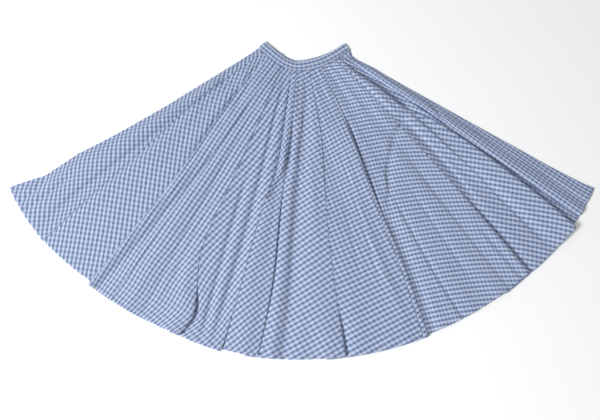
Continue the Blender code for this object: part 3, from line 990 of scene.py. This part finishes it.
    def panel(self, left: Pleat | None, right: Pleat | None, cloth: Panel) -> list[Strip]:
        """Makes an open panel.

        Args:
            left: Pleat at the panel's left, or None at the side edge.
            right: Pleat at its right, or None.
            cloth: The panel's grain.

        Returns:
            One strip, or one for each side of a seam that crosses the panel.
        """
        start, end = self.panel_limits(left, right)
        knots = [start, end]
        for seam in FRONT_SEAMS:
            line = seam.at(self.fractions())
            if start[-1, 0] < line[-1, 0] < end[-1, 0]:
                knots.insert(-1, line)
        runs = []
        for first, last in zip(knots, knots[1:]):
            count = max(FEWEST_STEPS, round(float(last[-1, 0] - first[-1, 0]) / self.front_step))
            runs.append(mix(first, last, np.linspace(0.0, 1.0, count + 1)[None, :]))
        bearings = np.concatenate(runs, axis=1)
        left_reach = HEM_RADIUS[Side.LEFT] if left is None else left.hem_right
        right_reach = HEM_RADIUS[Side.RIGHT] if right is None else right.hem_left
        reach = mix(left_reach, right_reach, (bearings - start) / (end - start))
        whole = Strip.of(bearings, 0.0, self.panel_height(left, right, bearings), reach)
        whole.grain = self.panel_grain(whole, cloth)
        ends = np.cumsum([run.shape[1] for run in runs])
        strips = [whole.columns(last - run.shape[1], last) for run, last in zip(runs, ends)]
        for one, other in zip(strips, strips[1:]):
            one.shift[:, -1] -= CONE.seam_gap / 2.0
            other.shift[:, 0] += CONE.seam_gap / 2.0
        return strips

    def panel_grain(self, strip: Strip, cloth: Panel) -> Array:
        """Spreads a panel's grain by length of cloth between its edges.

        Args:
            strip: The panel.
            cloth: Grain along its two edges.

        Returns:
            Grain angles of its columns.
        """
        f = self.fractions()
        radii = CONE.radius(strip.bearing, f, strip.reach)
        widths = np.radians(np.diff(strip.bearing, axis=1)) * radii[:, 1:]
        lengths = np.cumsum(np.hypot(widths, np.diff(strip.height, axis=1)), axis=1)
        part = np.concatenate([np.zeros_like(f), lengths], axis=1) / lengths[:, -1:]
        return mix(cloth.left.at(f), cloth.right.at(f), part)

    def nose(self, edge: Array, side: float, inset: Array, high: Array, low: Array,
             reach: tuple[float, float], back: tuple[float, float] = (0.0, 0.0)) -> Strip:
        """Makes the round of a fold, from its upper layer down to its lower one.

        Args:
            edge: Bearing of the fold at each ring.
            side: 1 where the fold faces right, -1 where it faces left.
            inset: How far the round reaches sideways.
            high: Height of the upper layer.
            low: Height of the lower layer.
            reach: Hem radii of the upper and the lower layer.
            back: Whether the upper and the lower layer belong to the back.

        Returns:
            The strip of the round.
        """
        angles = np.linspace(0.0, math.pi, self.nose_points)[None, :]
        part = 0.5 - 0.5 * np.cos(angles)
        shift = side * inset * (np.sin(angles) - 1.0)
        return Strip.of(edge, shift, mix(high, low, part), mix(*reach, part), mix(*back, part))

    def hidden_layer(self, bearings: tuple[Array, Array], shifts: tuple[Array, Array], level: Array,
                     reach: float) -> Strip:
        """Makes a hidden layer between two folds, without its first and last column.

        Args:
            bearings: Bearings of the two folds.
            shifts: Sideways shifts of the layer there.
            level: Height of the layer on flat cloth.
            reach: Hem radius.

        Returns:
            The strip of the layer.
        """
        part = np.linspace(0.0, 1.0, self.hidden_columns + 2)[None, 1:-1]
        between = mix(*bearings, part)
        return Strip.of(between, mix(*shifts, part), level + self.form(between), reach)

    def stack(self, pleat: Pleat, top: Array) -> Strip:
        """Makes a pleat's edge and its hidden returns, from its top layer down.

        Args:
            pleat: The pleat.
            top: Height of the top layer where it meets the round of the edge.

        Returns:
            The strip, from the layer on top to the one that comes out underneath.
        """
        f = self.fractions()
        side = pleat.over.value
        pitch = CONE.pitch(f)
        low = CONE.bottom() + pitch
        edge = pleat.edge.at(f)
        inner = edge - side * self.hidden_width(pleat)
        reaches = (pleat.hem_left, pleat.hem_right)
        if pleat.over is Over.RIGHT:
            reaches = reaches[::-1]
        folds = 2 * pleat.returns
        parts: list[Strip] = []
        for fold in range(folds):
            outer = fold % 2 == 0
            at, before = (edge, inner) if outer else (inner, edge)
            level = low + pitch * (folds - fold - 1)
            reach = (mix(*reaches, fold / folds), mix(*reaches, (fold + 1) / folds))
            settled = self.form(at)
            high = level + pitch + settled if fold else top
            inset = self.nose_share * pitch if fold else self.inset(pleat)
            turn = self.nose(at, side if outer else -side, inset, high, level + settled, reach)
            if outer and fold:
                turn.shift -= side * self.set_in
            if fold:
                joint = (parts[-1].shift[:, -1:], turn.shift[:, :1])
                parts.append(self.hidden_layer((before, at), joint, level + pitch, reach[0]))
            parts.append(turn)
        joint = (parts[-1].shift[:, -1:], np.zeros_like(f))
        parts.append(self.hidden_layer((inner, edge), joint, low, reaches[1]))
        return Strip.joined(parts)

    def front(self) -> list[Strip]:
        """Makes the front.

        Returns:
            A strip for each gore, left to right.
        """
        pleats = (None, *PLEATS, None)
        panels = [self.panel(*around) for around in zip(pleats, pleats[1:], PANELS)]
        gores = [[panels[0][0]]]
        gores += [[strip] for strip in panels[0][1:]]
        for pleat, after in zip(PLEATS, panels[1:]):
            before = gores[-1][-1]
            if pleat.over is Over.LEFT:
                stack = self.stack(pleat, before.height[:, -1:])
            else:
                stack = self.stack(pleat, after[0].height[:, :1]).columns(None, None, -1)
            part = np.linspace(0.0, 1.0, stack.bearing.shape[1])[None, :]
            stack.grain = mix(before.grain[:, -1:], after[0].grain[:, :1], part)
            own = (1, None) if pleat.over is Over.LEFT else (None, -1)
            gores[-1] += [stack.columns(*own), after[0]]
            gores += [[strip] for strip in after[1:]]
        return [Strip.joined(parts) for parts in gores]

    def side_round(self, side: Side, part: Strip) -> Strip:
        """Makes the round of a side edge, from the front down to the back.

        Args:
            side: The side edge.
            part: The front strip that ends there.

        Returns:
            The strip of the round.
        """
        f = self.fractions()
        last = part.columns(0, 1) if side is Side.LEFT else part.columns(-1, None)
        edge = CONE.side(side, f)
        reaches = (HEM_RADIUS[side], HEM_RADIUS[side])
        under = CONE.bottom() + self.surface.settle(self.places(edge))
        depth = last.height - under
        inset = self.side_share * depth
        turn = self.nose(edge, side.value, inset, last.height, under, reaches, (0.0, 1.0))
        step = np.degrees(np.abs(depth) / CONE.radius(edge, f, reaches[0]))
        turn.grain = last.grain + side.value * step * np.linspace(0.0, 1.0, self.nose_points)[None, :]
        return turn

    def back_strip(self, side: Side, edge_grain: Array) -> Strip:
        """Makes the back from a side edge to the back seam, without the edge's column.

        Args:
            side: The side edge.
            edge_grain: Grain angle of the cloth that comes round that edge.

        Returns:
            The strip of the back.
        """
        f = self.fractions()
        start = CONE.side(side, f)
        count = round(abs(float(start[-1, 0]) - BACK_SEAM) / self.back_step)
        bearings = mix(start, BACK_SEAM, np.linspace(0.0, 1.0, count + 1)[None, 1:])
        left, right = CONE.side(Side.LEFT, f), CONE.side(Side.RIGHT, f)
        tuck = self.back_tuck * ease(np.minimum(bearings - left, right - bearings) / self.back_tuck_width)
        reach = mix(HEM_RADIUS[Side.LEFT], HEM_RADIUS[Side.RIGHT], (bearings - left) / (right - left)) - tuck
        under = CONE.bottom() + self.surface.settle(self.places(bearings))
        strip = Strip.of(bearings, 0.0, under, reach, 1.0)
        strip.grain = edge_grain + side.value * np.abs(bearings - start)
        strip.shift[:, -1] += side.value * CONE.seam_gap / 2.0
        return strip

    def gores(self) -> dict[str, Strip]:
        """Makes the four gores.

        Returns:
            Their strips by node name.
        """
        left, centre, right, strip = self.front()
        left_round = self.side_round(Side.LEFT, left)
        right_round = self.side_round(Side.RIGHT, strip)
        back_left = self.back_strip(Side.LEFT, left_round.grain[:, -1:])
        back_right = self.back_strip(Side.RIGHT, right_round.grain[:, -1:])
        wrapped = Strip.joined([left_round, back_left]).columns(None, None, -1)
        return {
            "gore_left": Strip.joined([wrapped, left.columns(1, None)]),
            "gore_centre": centre,
            "gore_right": right,
            "gore_back": Strip.joined([strip.columns(None, -1), right_round, back_right]),
        }


# ---------------------------------------------------------------- finishes

Tree = bpy.types.NodeTree
Socket = bpy.types.NodeSocket


def add_node(tree: Tree, kind: str, inputs: dict[str | int, object], **settings: object) -> bpy.types.Node:
    """Adds a node to a material.

    Args:
        tree: The material's nodes.
        kind: Type of the node, without ShaderNode in front.
        inputs: A value, or a socket to be linked, for each input by its name or number.
        settings: Values of the node's own properties.

    Returns:
        The node.
    """
    node = tree.nodes.new("ShaderNode" + kind)
    for name, value in settings.items():
        setattr(node, name, value)
    feed(tree, node, inputs)
    return node


def feed(tree: Tree, node: bpy.types.Node, inputs: dict[str | int, object]) -> None:
    """Sets a node's inputs.

    Args:
        tree: The material's nodes.
        node: The node.
        inputs: A value, or a socket to be linked, for each input by its name or number.
    """
    for key, value in inputs.items():
        if isinstance(value, Socket):
            tree.links.new(value, node.inputs[key])
        else:
            node.inputs[key].default_value = value


def ramp(tree: Tree, value: Socket, limits: tuple[float, float], ends: tuple[float, float] = (0.0, 1.0),
         curve: str = "SMOOTHSTEP") -> Socket:
    """Maps a value from one range to another.

    Args:
        tree: The material's nodes.
        value: The value.
        limits: Range of the value.
        ends: Range of the result.
        curve: How it runs between its ends.

    Returns:
        The result.
    """
    inputs = dict(zip(("From Min", "From Max", "To Min", "To Max"), (*limits, *ends)), Value=value)
    return add_node(tree, "MapRange", inputs, interpolation_type=curve).outputs["Result"]


def shaded(name: str) -> tuple[bpy.types.Material, Tree, bpy.types.Node]:
    """Starts a material.

    Args:
        name: Its name.

    Returns:
        The material, its nodes and its Principled BSDF.
    """
    made = bpy.data.materials.new(name)
    made.use_nodes = True
    return made, made.node_tree, made.node_tree.nodes["Principled BSDF"]


@dataclass(frozen=True)
class GinghamFinish:
    """Blue and white gingham as a node material on the piece's own UV map, in metres.

    Attributes:
        name: Material name.
        repeat: Length of one blue and one white stripe, along and across the grain.
        blue: Colour of the blue yarn.
        white: Colour of the white yarn.
        warp_share: Share of the stripes that run along the grain in the colour.
        top_share: What that share gains or loses where their thread is on top or below.
        thread: Distance between two threads.
        roughness: Roughness of the cloth.
        sheen: Weight of the sheen.
        sheen_roughness: Roughness of the sheen.
        wander_scale: How many times in a repeat the stripes wander.
        wander_reach: How far they wander, in repeats.
        slub_scale: How many slubs there are in a repeat.
        tone: Least and largest strength of the colour, from slub to slub.
        wrinkle_scale: How many small wrinkles there are in a metre.
        wrinkle_depth: Their depth.
        weave_depth: Depth of the weave.
        stitch_height: Height of a stitch.
        offset: Shift of the pattern along and across, in repeats.
        row: Distance of the stitched row from the piece's edge.
        pitch: Length of a stitch and the gap after it.
        yarn: Width of a stitch.
    """

    name: str
    repeat: tuple[float, float] = (0.0135, 0.0127)
    blue: tuple[float, float, float] = (0.106, 0.155, 0.298)
    white: tuple[float, float, float] = (0.462, 0.531, 0.684)
    warp_share: float = 0.70
    top_share: float = 0.25
    thread: float = 0.00053
    roughness: float = 0.85
    sheen: float = 0.12
    sheen_roughness: float = 0.5
    wander_scale: float = 0.35
    wander_reach: float = 0.16
    slub_scale: float = 1.3
    tone: tuple[float, float] = (0.92, 1.07)
    wrinkle_scale: float = 55.0
    wrinkle_depth: float = 0.0022
    weave_depth: float = 0.00012
    stitch_height: float = 0.0004
    offset: tuple[float, float] = (0.0, 0.0)
    row: float = 0.010
    pitch: float = 0.0028
    yarn: float = 0.0005

    def material(self) -> bpy.types.Material:
        """Builds the material.

        Returns:
            The material.
        """
        made, tree, shader = shaded(self.name)
        uv = add_node(tree, "UVMap", {}, uv_map="cloth").outputs[0]
        repeats = (1.0 / self.repeat[0], 1.0 / self.repeat[1], 0.0)
        place = add_node(tree, "VectorMath", {0: uv, 1: repeats, 2: (*self.offset, 0.0)},
                         operation="MULTIPLY_ADD").outputs[0]
        share = self.blue_share(tree, self.wandering(tree, place))
        colours = {"A": (*self.white, 1.0), "B": (*self.blue, 1.0), "Factor": share}
        checked = add_node(tree, "Mix", colours, data_type="RGBA").outputs["Result"]
        stitches = self.stitches(tree)
        sewn = add_node(tree, "Mix", {"A": self.toned(tree, checked, place), "B": (*self.white, 1.0),
                                      "Factor": stitches}, data_type="RGBA").outputs["Result"]
        feed(tree, shader, {
            "Roughness": self.roughness, "Sheen Weight": self.sheen, "Sheen Roughness": self.sheen_roughness,
            "Base Color": sewn, "Normal": self.bump(tree, uv, stitches)})
        return made

    def wandering(self, tree: Tree, place: Socket) -> Socket:
        """Lets the stripes wander a little, as threads do in washed cloth.

        Args:
            tree: The material's nodes.
            place: Place on the cloth in repeats.

        Returns:
            The place, moved.
        """
        noise = add_node(tree, "TexNoise", {"Scale": self.wander_scale, "Detail": 2.0, "Vector": place})
        reach = (self.wander_reach, self.wander_reach, 0.0)
        moved = {0: noise.outputs["Color"], 1: reach, 2: place}
        return add_node(tree, "VectorMath", moved, operation="MULTIPLY_ADD").outputs[0]

    def stripe(self, tree: Tree, coordinate: Socket) -> Socket:
        """Makes stripes whose edge is one thread wide.

        Args:
            tree: The material's nodes.
            coordinate: Coordinate across the stripes, in repeats.

        Returns:
            1 on a blue stripe and 0 on a white one.
        """
        # Each repeat is folded in half, and the colour changes half way along that.
        turn = add_node(tree, "Math", {0: coordinate, 1: 0.5}, operation="PINGPONG").outputs[0]
        soft = 0.5 * self.thread / self.repeat[1]
        return ramp(tree, turn, (0.25 - soft, 0.25 + soft))

    def blue_share(self, tree: Tree, place: Socket) -> Socket:
        """Blends the stripes of both directions, weighted by the thread on top.

        Args:
            tree: The material's nodes.
            place: Place on the cloth in repeats.

        Returns:
            The share of blue yarn.
        """
        split = add_node(tree, "SeparateXYZ", {0: place})
        waves = []
        for axis in ("X", "Y"):
            beat = {0: split.outputs[axis], 1: math.pi * self.repeat[1] / self.thread}
            wave = add_node(tree, "Math", beat, operation="MULTIPLY").outputs[0]
            waves.append(add_node(tree, "Math", {0: wave}, operation="SINE").outputs[0])
        over = add_node(tree, "Math", dict(enumerate(waves)), operation="MULTIPLY").outputs[0]
        shares = (self.warp_share - self.top_share, self.warp_share + self.top_share)
        top = ramp(tree, over, (-1.0, 1.0), shares, "LINEAR")
        weft, warp = (self.stripe(tree, split.outputs[axis]) for axis in ("X", "Y"))
        return add_node(tree, "Mix", {"Factor": top, "A": weft, "B": warp}).outputs["Result"]

    def toned(self, tree: Tree, colour: Socket, place: Socket) -> Socket:
        """Varies the colour a little from place to place, as slubs and washing do.

        Args:
            tree: The material's nodes.
            colour: The colour.
            place: Place on the cloth in repeats.

        Returns:
            The colour, lighter or darker.
        """
        slub = add_node(tree, "TexNoise", {"Scale": self.slub_scale, "Detail": 4.0, "Roughness": 0.65,
                                           "Vector": place}).outputs["Fac"]
        tone = ramp(tree, slub, (0.25, 0.75), self.tone, "LINEAR")
        return add_node(tree, "VectorMath", {0: colour, "Scale": tone}, operation="SCALE").outputs[0]

    def stitches(self, tree: Tree) -> Socket:
        """Makes the stitches that run beside the piece's edge.

        Args:
            tree: The material's nodes.

        Returns:
            1 on a stitch and 0 elsewhere.
        """
        uv = add_node(tree, "UVMap", {}, uv_map="edge").outputs[0]
        split = add_node(tree, "SeparateXYZ", {0: uv})
        away = add_node(tree, "Math", {0: split.outputs["Y"], 1: self.row}, operation="SUBTRACT").outputs[0]
        side = add_node(tree, "Math", {0: away}, operation="ABSOLUTE").outputs[0]
        beat = add_node(tree, "Math", {0: split.outputs["X"], 1: self.pitch / 2.0},
                        operation="PINGPONG").outputs[0]
        # A stitch fades from half way to its sides and, at both ends, into the gap.
        across = ramp(tree, side, (0.25 * self.yarn, 0.5 * self.yarn), (1.0, 0.0))
        lengthwise = ramp(tree, beat, (0.10 * self.pitch, 0.16 * self.pitch))
        return add_node(tree, "Math", {0: across, 1: lengthwise}, operation="MULTIPLY").outputs[0]

    def bump(self, tree: Tree, uv: Socket, stitches: Socket) -> Socket:
        """Makes small wrinkles, the weave and the height of the stitches.

        Args:
            tree: The material's nodes.
            uv: Place on the cloth in metres.
            stitches: 1 on a stitch and 0 elsewhere.

        Returns:
            The normal.
        """
        wrinkle = add_node(tree, "TexNoise", {"Scale": self.wrinkle_scale, "Detail": 5.0, "Roughness": 0.6,
                                              "Distortion": 0.4, "Vector": uv})
        creased = add_node(tree, "Bump", {"Strength": 0.5, "Distance": self.wrinkle_depth,
                                          "Height": wrinkle.outputs["Fac"]})
        weave = add_node(tree, "TexNoise", {"Scale": 1.0 / self.thread, "Detail": 1.0, "Vector": uv})
        woven = add_node(tree, "Bump", {"Strength": 0.35, "Distance": self.weave_depth,
                                        "Height": weave.outputs["Fac"], "Normal": creased.outputs["Normal"]})
        raised = add_node(tree, "Bump", {"Distance": self.stitch_height, "Height": stitches,
                                         "Normal": woven.outputs["Normal"]})
        return raised.outputs["Normal"]


@dataclass(frozen=True)
class FloorFinish:
    """The floor's plain finish, with a faint grain.

    Attributes:
        name: Material name.
        colour: Its colour.
        roughness: Its roughness.
        specular: Strength of its gloss.
        grain_scale: How fine the grain is.
        grain_depth: How deep it is.
        grain_strength: How strongly it shows.
    """

    name: str = "pale_floor"
    colour: tuple[float, float, float] = (0.96, 0.96, 0.96)
    roughness: float = 0.9
    specular: float = 0.2
    grain_scale: float = 40.0
    grain_depth: float = 0.0002
    grain_strength: float = 0.4

    def material(self) -> bpy.types.Material:
        """Builds the material.

        Returns:
            The material.
        """
        made, tree, shader = shaded(self.name)
        where = add_node(tree, "TexCoord", {}).outputs["Object"]
        noise = add_node(tree, "TexNoise", {"Scale": self.grain_scale, "Vector": where}).outputs["Fac"]
        bump = add_node(tree, "Bump", {"Distance": self.grain_depth, "Strength": self.grain_strength,
                                       "Height": noise}).outputs["Normal"]
        feed(tree, shader, {
            "Base Color": (*self.colour, 1.0), "Roughness": self.roughness,
            "Specular IOR Level": self.specular, "Normal": bump})
        return made


# ---------------------------------------------------------------- pieces


def select_only(piece: bpy.types.Object | None = None) -> None:
    """Selects one object and nothing else.

    Args:
        piece: The object, or None to select nothing at all.
    """
    bpy.ops.object.select_all(action="DESELECT")
    if piece is not None:
        bpy.context.view_layer.objects.active = piece
        piece.select_set(True)


def laid_grid(name: str, points: Array, maps: dict[str, Array]) -> bpy.types.Object:
    """Lays a grid primitive over rows of points and gives it its cloth coordinates.

    Args:
        name: Name of the piece.
        points: Places, as rows, columns and three coordinates.
        maps: Coordinates of the same places in metres, by the name of their UV map.

    Returns:
        The piece, with its place in its mesh.
    """
    rows, columns = points.shape[:2]
    select_only()
    bpy.ops.mesh.primitive_grid_add(x_subdivisions=columns - 1, y_subdivisions=rows - 1, size=2.0)
    piece = bpy.context.active_object
    piece.name = piece.data.name = name
    mesh = piece.data
    flat = np.zeros(len(mesh.vertices) * 3)
    mesh.vertices.foreach_get("co", flat)
    flat = flat.reshape(-1, 3)
    column = np.rint((flat[:, 0] + 1.0) / 2.0 * (columns - 1)).astype(int)
    row = np.rint((flat[:, 1] + 1.0) / 2.0 * (rows - 1)).astype(int)
    mesh.vertices.foreach_set("co", points[row, column].ravel())
    while mesh.uv_layers:
        mesh.uv_layers.remove(mesh.uv_layers[0])
    corners = np.zeros(len(mesh.loops), int)
    mesh.loops.foreach_get("vertex_index", corners)
    for title, places in maps.items():
        layer = mesh.uv_layers.new(name=title)
        layer.data.foreach_set("uv", places[row, column][corners].ravel())
    mesh.update()
    return piece


def walled(piece: bpy.types.Object, wall: float, group: str = "", thin: float = 1.0) -> None:
    """Gives a sheet its wall, which may be thinner where a vertex group is 0.

    Args:
        piece: The sheet.
        wall: Full thickness.
        group: Vertex group of the thick parts, or nothing.
        thin: Share of the thickness where the group is 0.
    """
    select_only(piece)
    solidify = piece.modifiers.new("wall", "SOLIDIFY")
    solidify.thickness = wall
    solidify.offset = 0.0
    if group:
        solidify.vertex_group = group
        solidify.thickness_vertex_group = thin
    bpy.ops.object.modifier_apply(modifier="wall")
    bpy.ops.object.shade_smooth()
    LOG.info("%s: %d faces", piece.name, len(piece.data.polygons))


@dataclass
class Skirt:
    """The four gores of checked cloth.

    Attributes:
        ring_count: Rings from the waist to the hem.
        hem_rings: Rings on the turned hem.
        closer: How much closer the rings are near the waist, as a share.
        hem_width: Width of the turned hem.
        hem_wall: Thickness of the turned hem.
        cut: Width and length of one gore's cut; not used.
        cut_area: Area of one gore's cut; not used.
        offsets: Shift of each gore's pattern, in repeats.
    """

    ring_count: int = 112
    hem_rings: int = 4
    closer: float = 0.25
    hem_width: float = 0.012
    hem_wall: float = 0.0006
    cut: tuple[float, float] = (1.009, 1.009)
    cut_area: float = 0.782
    offsets: dict[str, tuple[float, float]] = field(default_factory=lambda: {
        "gore_left": (0.30, 0.1), "gore_centre": (0.0, 0.0),
        "gore_right": (0.17, 0.42), "gore_back": (0.4, 0.23)})

    def hem_start(self) -> float:
        """Gives the fraction at which the turned hem begins."""
        return 1.0 - self.hem_width / CONE.cloth_length

    def rings(self) -> Array:
        """Spaces the rings, closer near the waist and at the hem.

        Returns:
            Their fractions.
        """
        even = np.linspace(0.0, self.hem_start(), self.ring_count - self.hem_rings + 1)
        open_cloth = even * (1.0 - self.closer + self.closer * even / even[-1])
        return np.concatenate([open_cloth, np.linspace(open_cloth[-1], 1.0, self.hem_rings)[1:]])

    def build(self) -> dict[str, bpy.types.Object]:
        """Makes and dresses the gores.

        Returns:
            The pieces by node name.
        """
        cloth = LaidCloth(self.rings())
        pieces = {}
        for node, strip in cloth.gores().items():
            radii = CONE.radius(strip.bearing, cloth.fractions(), strip.reach, strip.back)
            points = CONE.points(radii, np.radians(strip.bearing) + strip.shift / radii, strip.height)
            grain = np.radians(strip.grain)
            woven = np.stack([radii * np.cos(grain), radii * np.sin(grain)], axis=-1)
            beside = np.stack([radii * grain, strip.reach - radii], axis=-1)
            piece = laid_grid(node + "_cloth", points, {"cloth": woven, "edge": beside})
            self.thicken(piece, radii.shape, cloth.rings)
            finish = GinghamFinish(node + "_gingham", offset=self.offsets[node])
            piece.data.materials.append(finish.material())
            pieces[node] = piece
        return pieces

    def thicken(self, piece: bpy.types.Object, shape: tuple[int, int], rings: Array) -> None:
        """Gives a gore its wall, thicker at the turned hem.

        Args:
            piece: The gore's sheet.
            shape: Its number of rows and columns.
            rings: Fractions of its rows.
        """
        index = np.arange(math.prod(shape)).reshape(shape)
        hem = piece.vertex_groups.new(name="hem")
        hem.add(index[rings >= self.hem_start() - TINY].ravel().tolist(), 1.0, "REPLACE")
        walled(piece, self.hem_wall, "hem", CONE.wall / self.hem_wall)

    def declare(self, pieces: dict[str, bpy.types.Object]) -> None:
        """Declares each gore to the frame.

        Args:
            pieces: The gores by node name.
        """
        for node, piece in pieces.items():
            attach(piece, BODY)
            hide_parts(node)


class Station(NamedTuple):
    """A place along the waistband.

    Attributes:
        bearing: Bearing of its sewn edge.
        height: Height of the middle of the band.
        shift: Sideways shift in metres.
        back: 1 behind, 0 in front.
    """

    bearing: float
    height: float
    shift: float
    back: float


@dataclass
class Waistband:
    """The narrow folded band that the gores are sewn to.

    Attributes:
        wall: Thickness of the band.
        level: Height of the middle of its front.
        step: Degrees between two stations.
        round_points: Stations round a side fold.
        side_share: Reach of that round, as a share of its height.
        strips: Faces across the band.
        crown: How far the middle of its front stands proud of its edges.
        lap: Degrees that one end laps over the other.
        slope: Degrees over which the upper end comes down.
        offset: Shift of its pattern, in repeats.
        row: Distance of its stitches from both edges.
        cut: Length and width of the folded band; not used.
    """

    wall: float = 0.0015
    level: float = 0.0048
    step: float = 1.0
    round_points: int = 7
    side_share: float = 0.6
    strips: int = 10
    crown: float = 0.0005
    lap: float = 7.0
    slope: float = 2.5
    offset: tuple[float, float] = (0.3, 0.0)
    row: float = 0.0016
    cut: tuple[float, float] = (0.65, 0.029)

    def low(self) -> float:
        """Gives the height of the middle of the band where it lies on the floor."""
        return CONE.floor_gap + self.wall / 2.0

    def line(self) -> list[Station]:
        """Lays out the band.

        Returns:
            Its stations from one end to the other.
        """
        low = self.low()
        upper = low + self.wall + CONE.seam_gap
        first, last = BAND_ROWS[0].bearing, BAND_ROWS[-1].bearing
        over, under = BACK_SEAM + self.lap / 2.0, BACK_SEAM - self.lap / 2.0
        climbs = [(at, float(ease((under - at) / self.slope))) for at in self.stepped(over, first)]
        line = [Station(at, float(mix(upper, low, part)), 0.0, 1.0) for at, part in climbs]
        line += self.side_round(first, Side.LEFT)[::-1]
        line += [Station(at, self.level, 0.0, 0.0) for at in self.stepped(first, last)]
        line += self.side_round(last, Side.RIGHT)
        line += [Station(at, low, 0.0, 1.0) for at in self.stepped(last, under)]
        return line

    def stepped(self, start: float, end: float) -> list[float]:
        """Gives bearings between start and end, about a step apart, without both ends."""
        count = max(FEWEST_STEPS, round(abs(end - start) / self.step) + 1)
        return [float(value) for value in np.linspace(start, end, count)[1:-1]]

    def side_round(self, bearing: float, side: Side) -> list[Station]:
        """Lays out the round of a side fold.

        Args:
            bearing: Bearing of the fold.
            side: The way that it faces.

        Returns:
            Its stations, from the front down to the back.
        """
        inset = self.side_share * (self.level - self.low())
        places = []
        for angle in np.linspace(0.0, math.pi, self.round_points):
            part = 0.5 - 0.5 * math.cos(angle)
            shift = side.value * inset * (math.sin(angle) - 1.0)
            places.append(Station(bearing, float(mix(self.level, self.low(), part)), shift, float(part)))
        return places

    def build(self) -> bpy.types.Object:
        """Makes and dresses the band.

        Returns:
            The piece.
        """
        rows = BandRow(*np.array(BAND_ROWS).T)
        at = Station(*np.array(self.line()).T)
        front, behind, width, turn = (flowing(rows.bearing, values, at.bearing) for values in rows[1:])
        sewn = mix(front, behind, at.back)
        parts = np.linspace(0.0, 1.0, self.strips + 1)[:, None]
        radii = sewn - width * parts
        angles = np.radians(at.bearing) + np.radians(turn) * parts + at.shift / radii
        crown = self.crown * np.sin(parts * math.pi) * (1.0 - at.back)
        points = CONE.points(radii, angles, at.height + crown)
        steps = np.linalg.norm(np.diff(points[self.strips // 2], axis=0), axis=1)
        lengths = np.concatenate([[0.0], np.cumsum(steps)])
        across, inward = width * (parts - 0.5), width * np.minimum(parts, 1.0 - parts)
        woven, beside = (np.stack(np.broadcast_arrays(lengths, other), axis=-1) for other in (across, inward))
        piece = laid_grid("waistband_cloth", points, {"cloth": woven, "edge": beside})
        walled(piece, self.wall)
        finish = GinghamFinish("waistband_gingham", offset=self.offset, row=self.row)
        piece.data.materials.append(finish.material())
        return piece

    def declare(self, piece: bpy.types.Object) -> None:
        """Args:
            piece: The band.
        """
        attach(piece, BODY)
        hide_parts("waistband")


# ---------------------------------------------------------------- studio


@dataclass(frozen=True)
class Studio:
    """Floor, lights and camera.

    Attributes:
        floor_size: Width of the floor.
        key_way: Direction of the key light from the middle of the skirt.
        key_distance: Its distance.
        key_size: Its width.
        key_power: Its power in watts.
        room_colour: Colour of the room's even light.
        room_strength: Strength of the room's even light.
        aim: Where the camera looks, from the cone's point.
        tilt: Angle of the camera from straight down, in degrees.
        distance: Distance of the camera from the place it looks at.
        lens: Focal length in millimetres.
        sensor: Width of the camera's sensor in millimetres.
    """

    floor_size: float = 12.0
    key_way: tuple[float, float, float] = (-0.70, -0.36, 0.62)
    key_distance: float = 5.0
    key_size: float = 1.4
    key_power: float = 275.0
    room_colour: tuple[float, float, float] = (0.97, 0.98, 1.0)
    room_strength: float = 0.47
    aim: tuple[float, float] = (0.0018, -0.6)
    tilt: float = 14.0
    distance: float = 1.43665
    lens: float = 30.0
    sensor: float = 36.0

    def build(self) -> None:
        """Makes the floor, the lights and the camera."""
        self.floor()
        self.key_light()
        self.room_light()
        self.camera()

    def floor(self) -> None:
        """Makes the plain pale floor."""
        select_only()
        bpy.ops.mesh.primitive_plane_add(size=self.floor_size)
        floor = bpy.context.active_object
        floor.name = floor.data.name = "floor"
        floor.data.materials.append(FloorFinish().material())

    def holder(self, name: str, data: bpy.types.Light | bpy.types.Camera) -> bpy.types.Object:
        """Puts a light or the camera into the scene.

        Args:
            name: Name of the object.
            data: The light or the camera.

        Returns:
            The object.
        """
        holder = bpy.data.objects.new(name, data)
        bpy.context.scene.collection.objects.link(holder)
        return holder

    def key_light(self) -> None:
        """Adds the soft square light from the left."""
        light = bpy.data.lights.new("key", "AREA")
        light.shape = "SQUARE"
        light.size = self.key_size
        light.energy = self.key_power
        key = self.holder("key", light)
        middle = CONE.apex() + Vector((0.0, self.aim[1], 0.0))
        key.location = middle + self.key_distance * Vector(self.key_way)
        key.rotation_euler = (middle - key.location).to_track_quat("-Z", "Y").to_euler()

    def room_light(self) -> None:
        """Adds the even light of the room."""
        world = bpy.data.worlds.new("room")
        world.use_nodes = True
        feed(world.node_tree, world.node_tree.nodes["Background"], {
            "Color": (*self.room_colour, 1.0), "Strength": self.room_strength})
        bpy.context.scene.world = world

    def camera(self) -> None:
        """Adds the camera, above the skirt and tilted a little towards it."""
        data = bpy.data.cameras.new("camera")
        data.lens = self.lens
        data.sensor_width = self.sensor
        camera = self.holder("camera", data)
        tilt = math.radians(self.tilt)
        middle = CONE.apex() + Vector((*self.aim, 0.0))
        camera.location = middle + self.distance * Vector((0.0, -math.sin(tilt), math.cos(tilt)))
        camera.rotation_euler = (tilt, 0.0, 0.0)
        bpy.context.scene.camera = camera
        bpy.context.scene.view_settings.view_transform = "Standard"


def main() -> None:
    """Builds the studio and the skirt."""
    logging.basicConfig(level=logging.INFO, format="%(name)s: %(message)s")
    Studio().build()
    skirt = Skirt()
    skirt.declare(skirt.build())
    waistband = Waistband()
    waistband.declare(waistband.build())


if __name__ == "__main__":
    main()
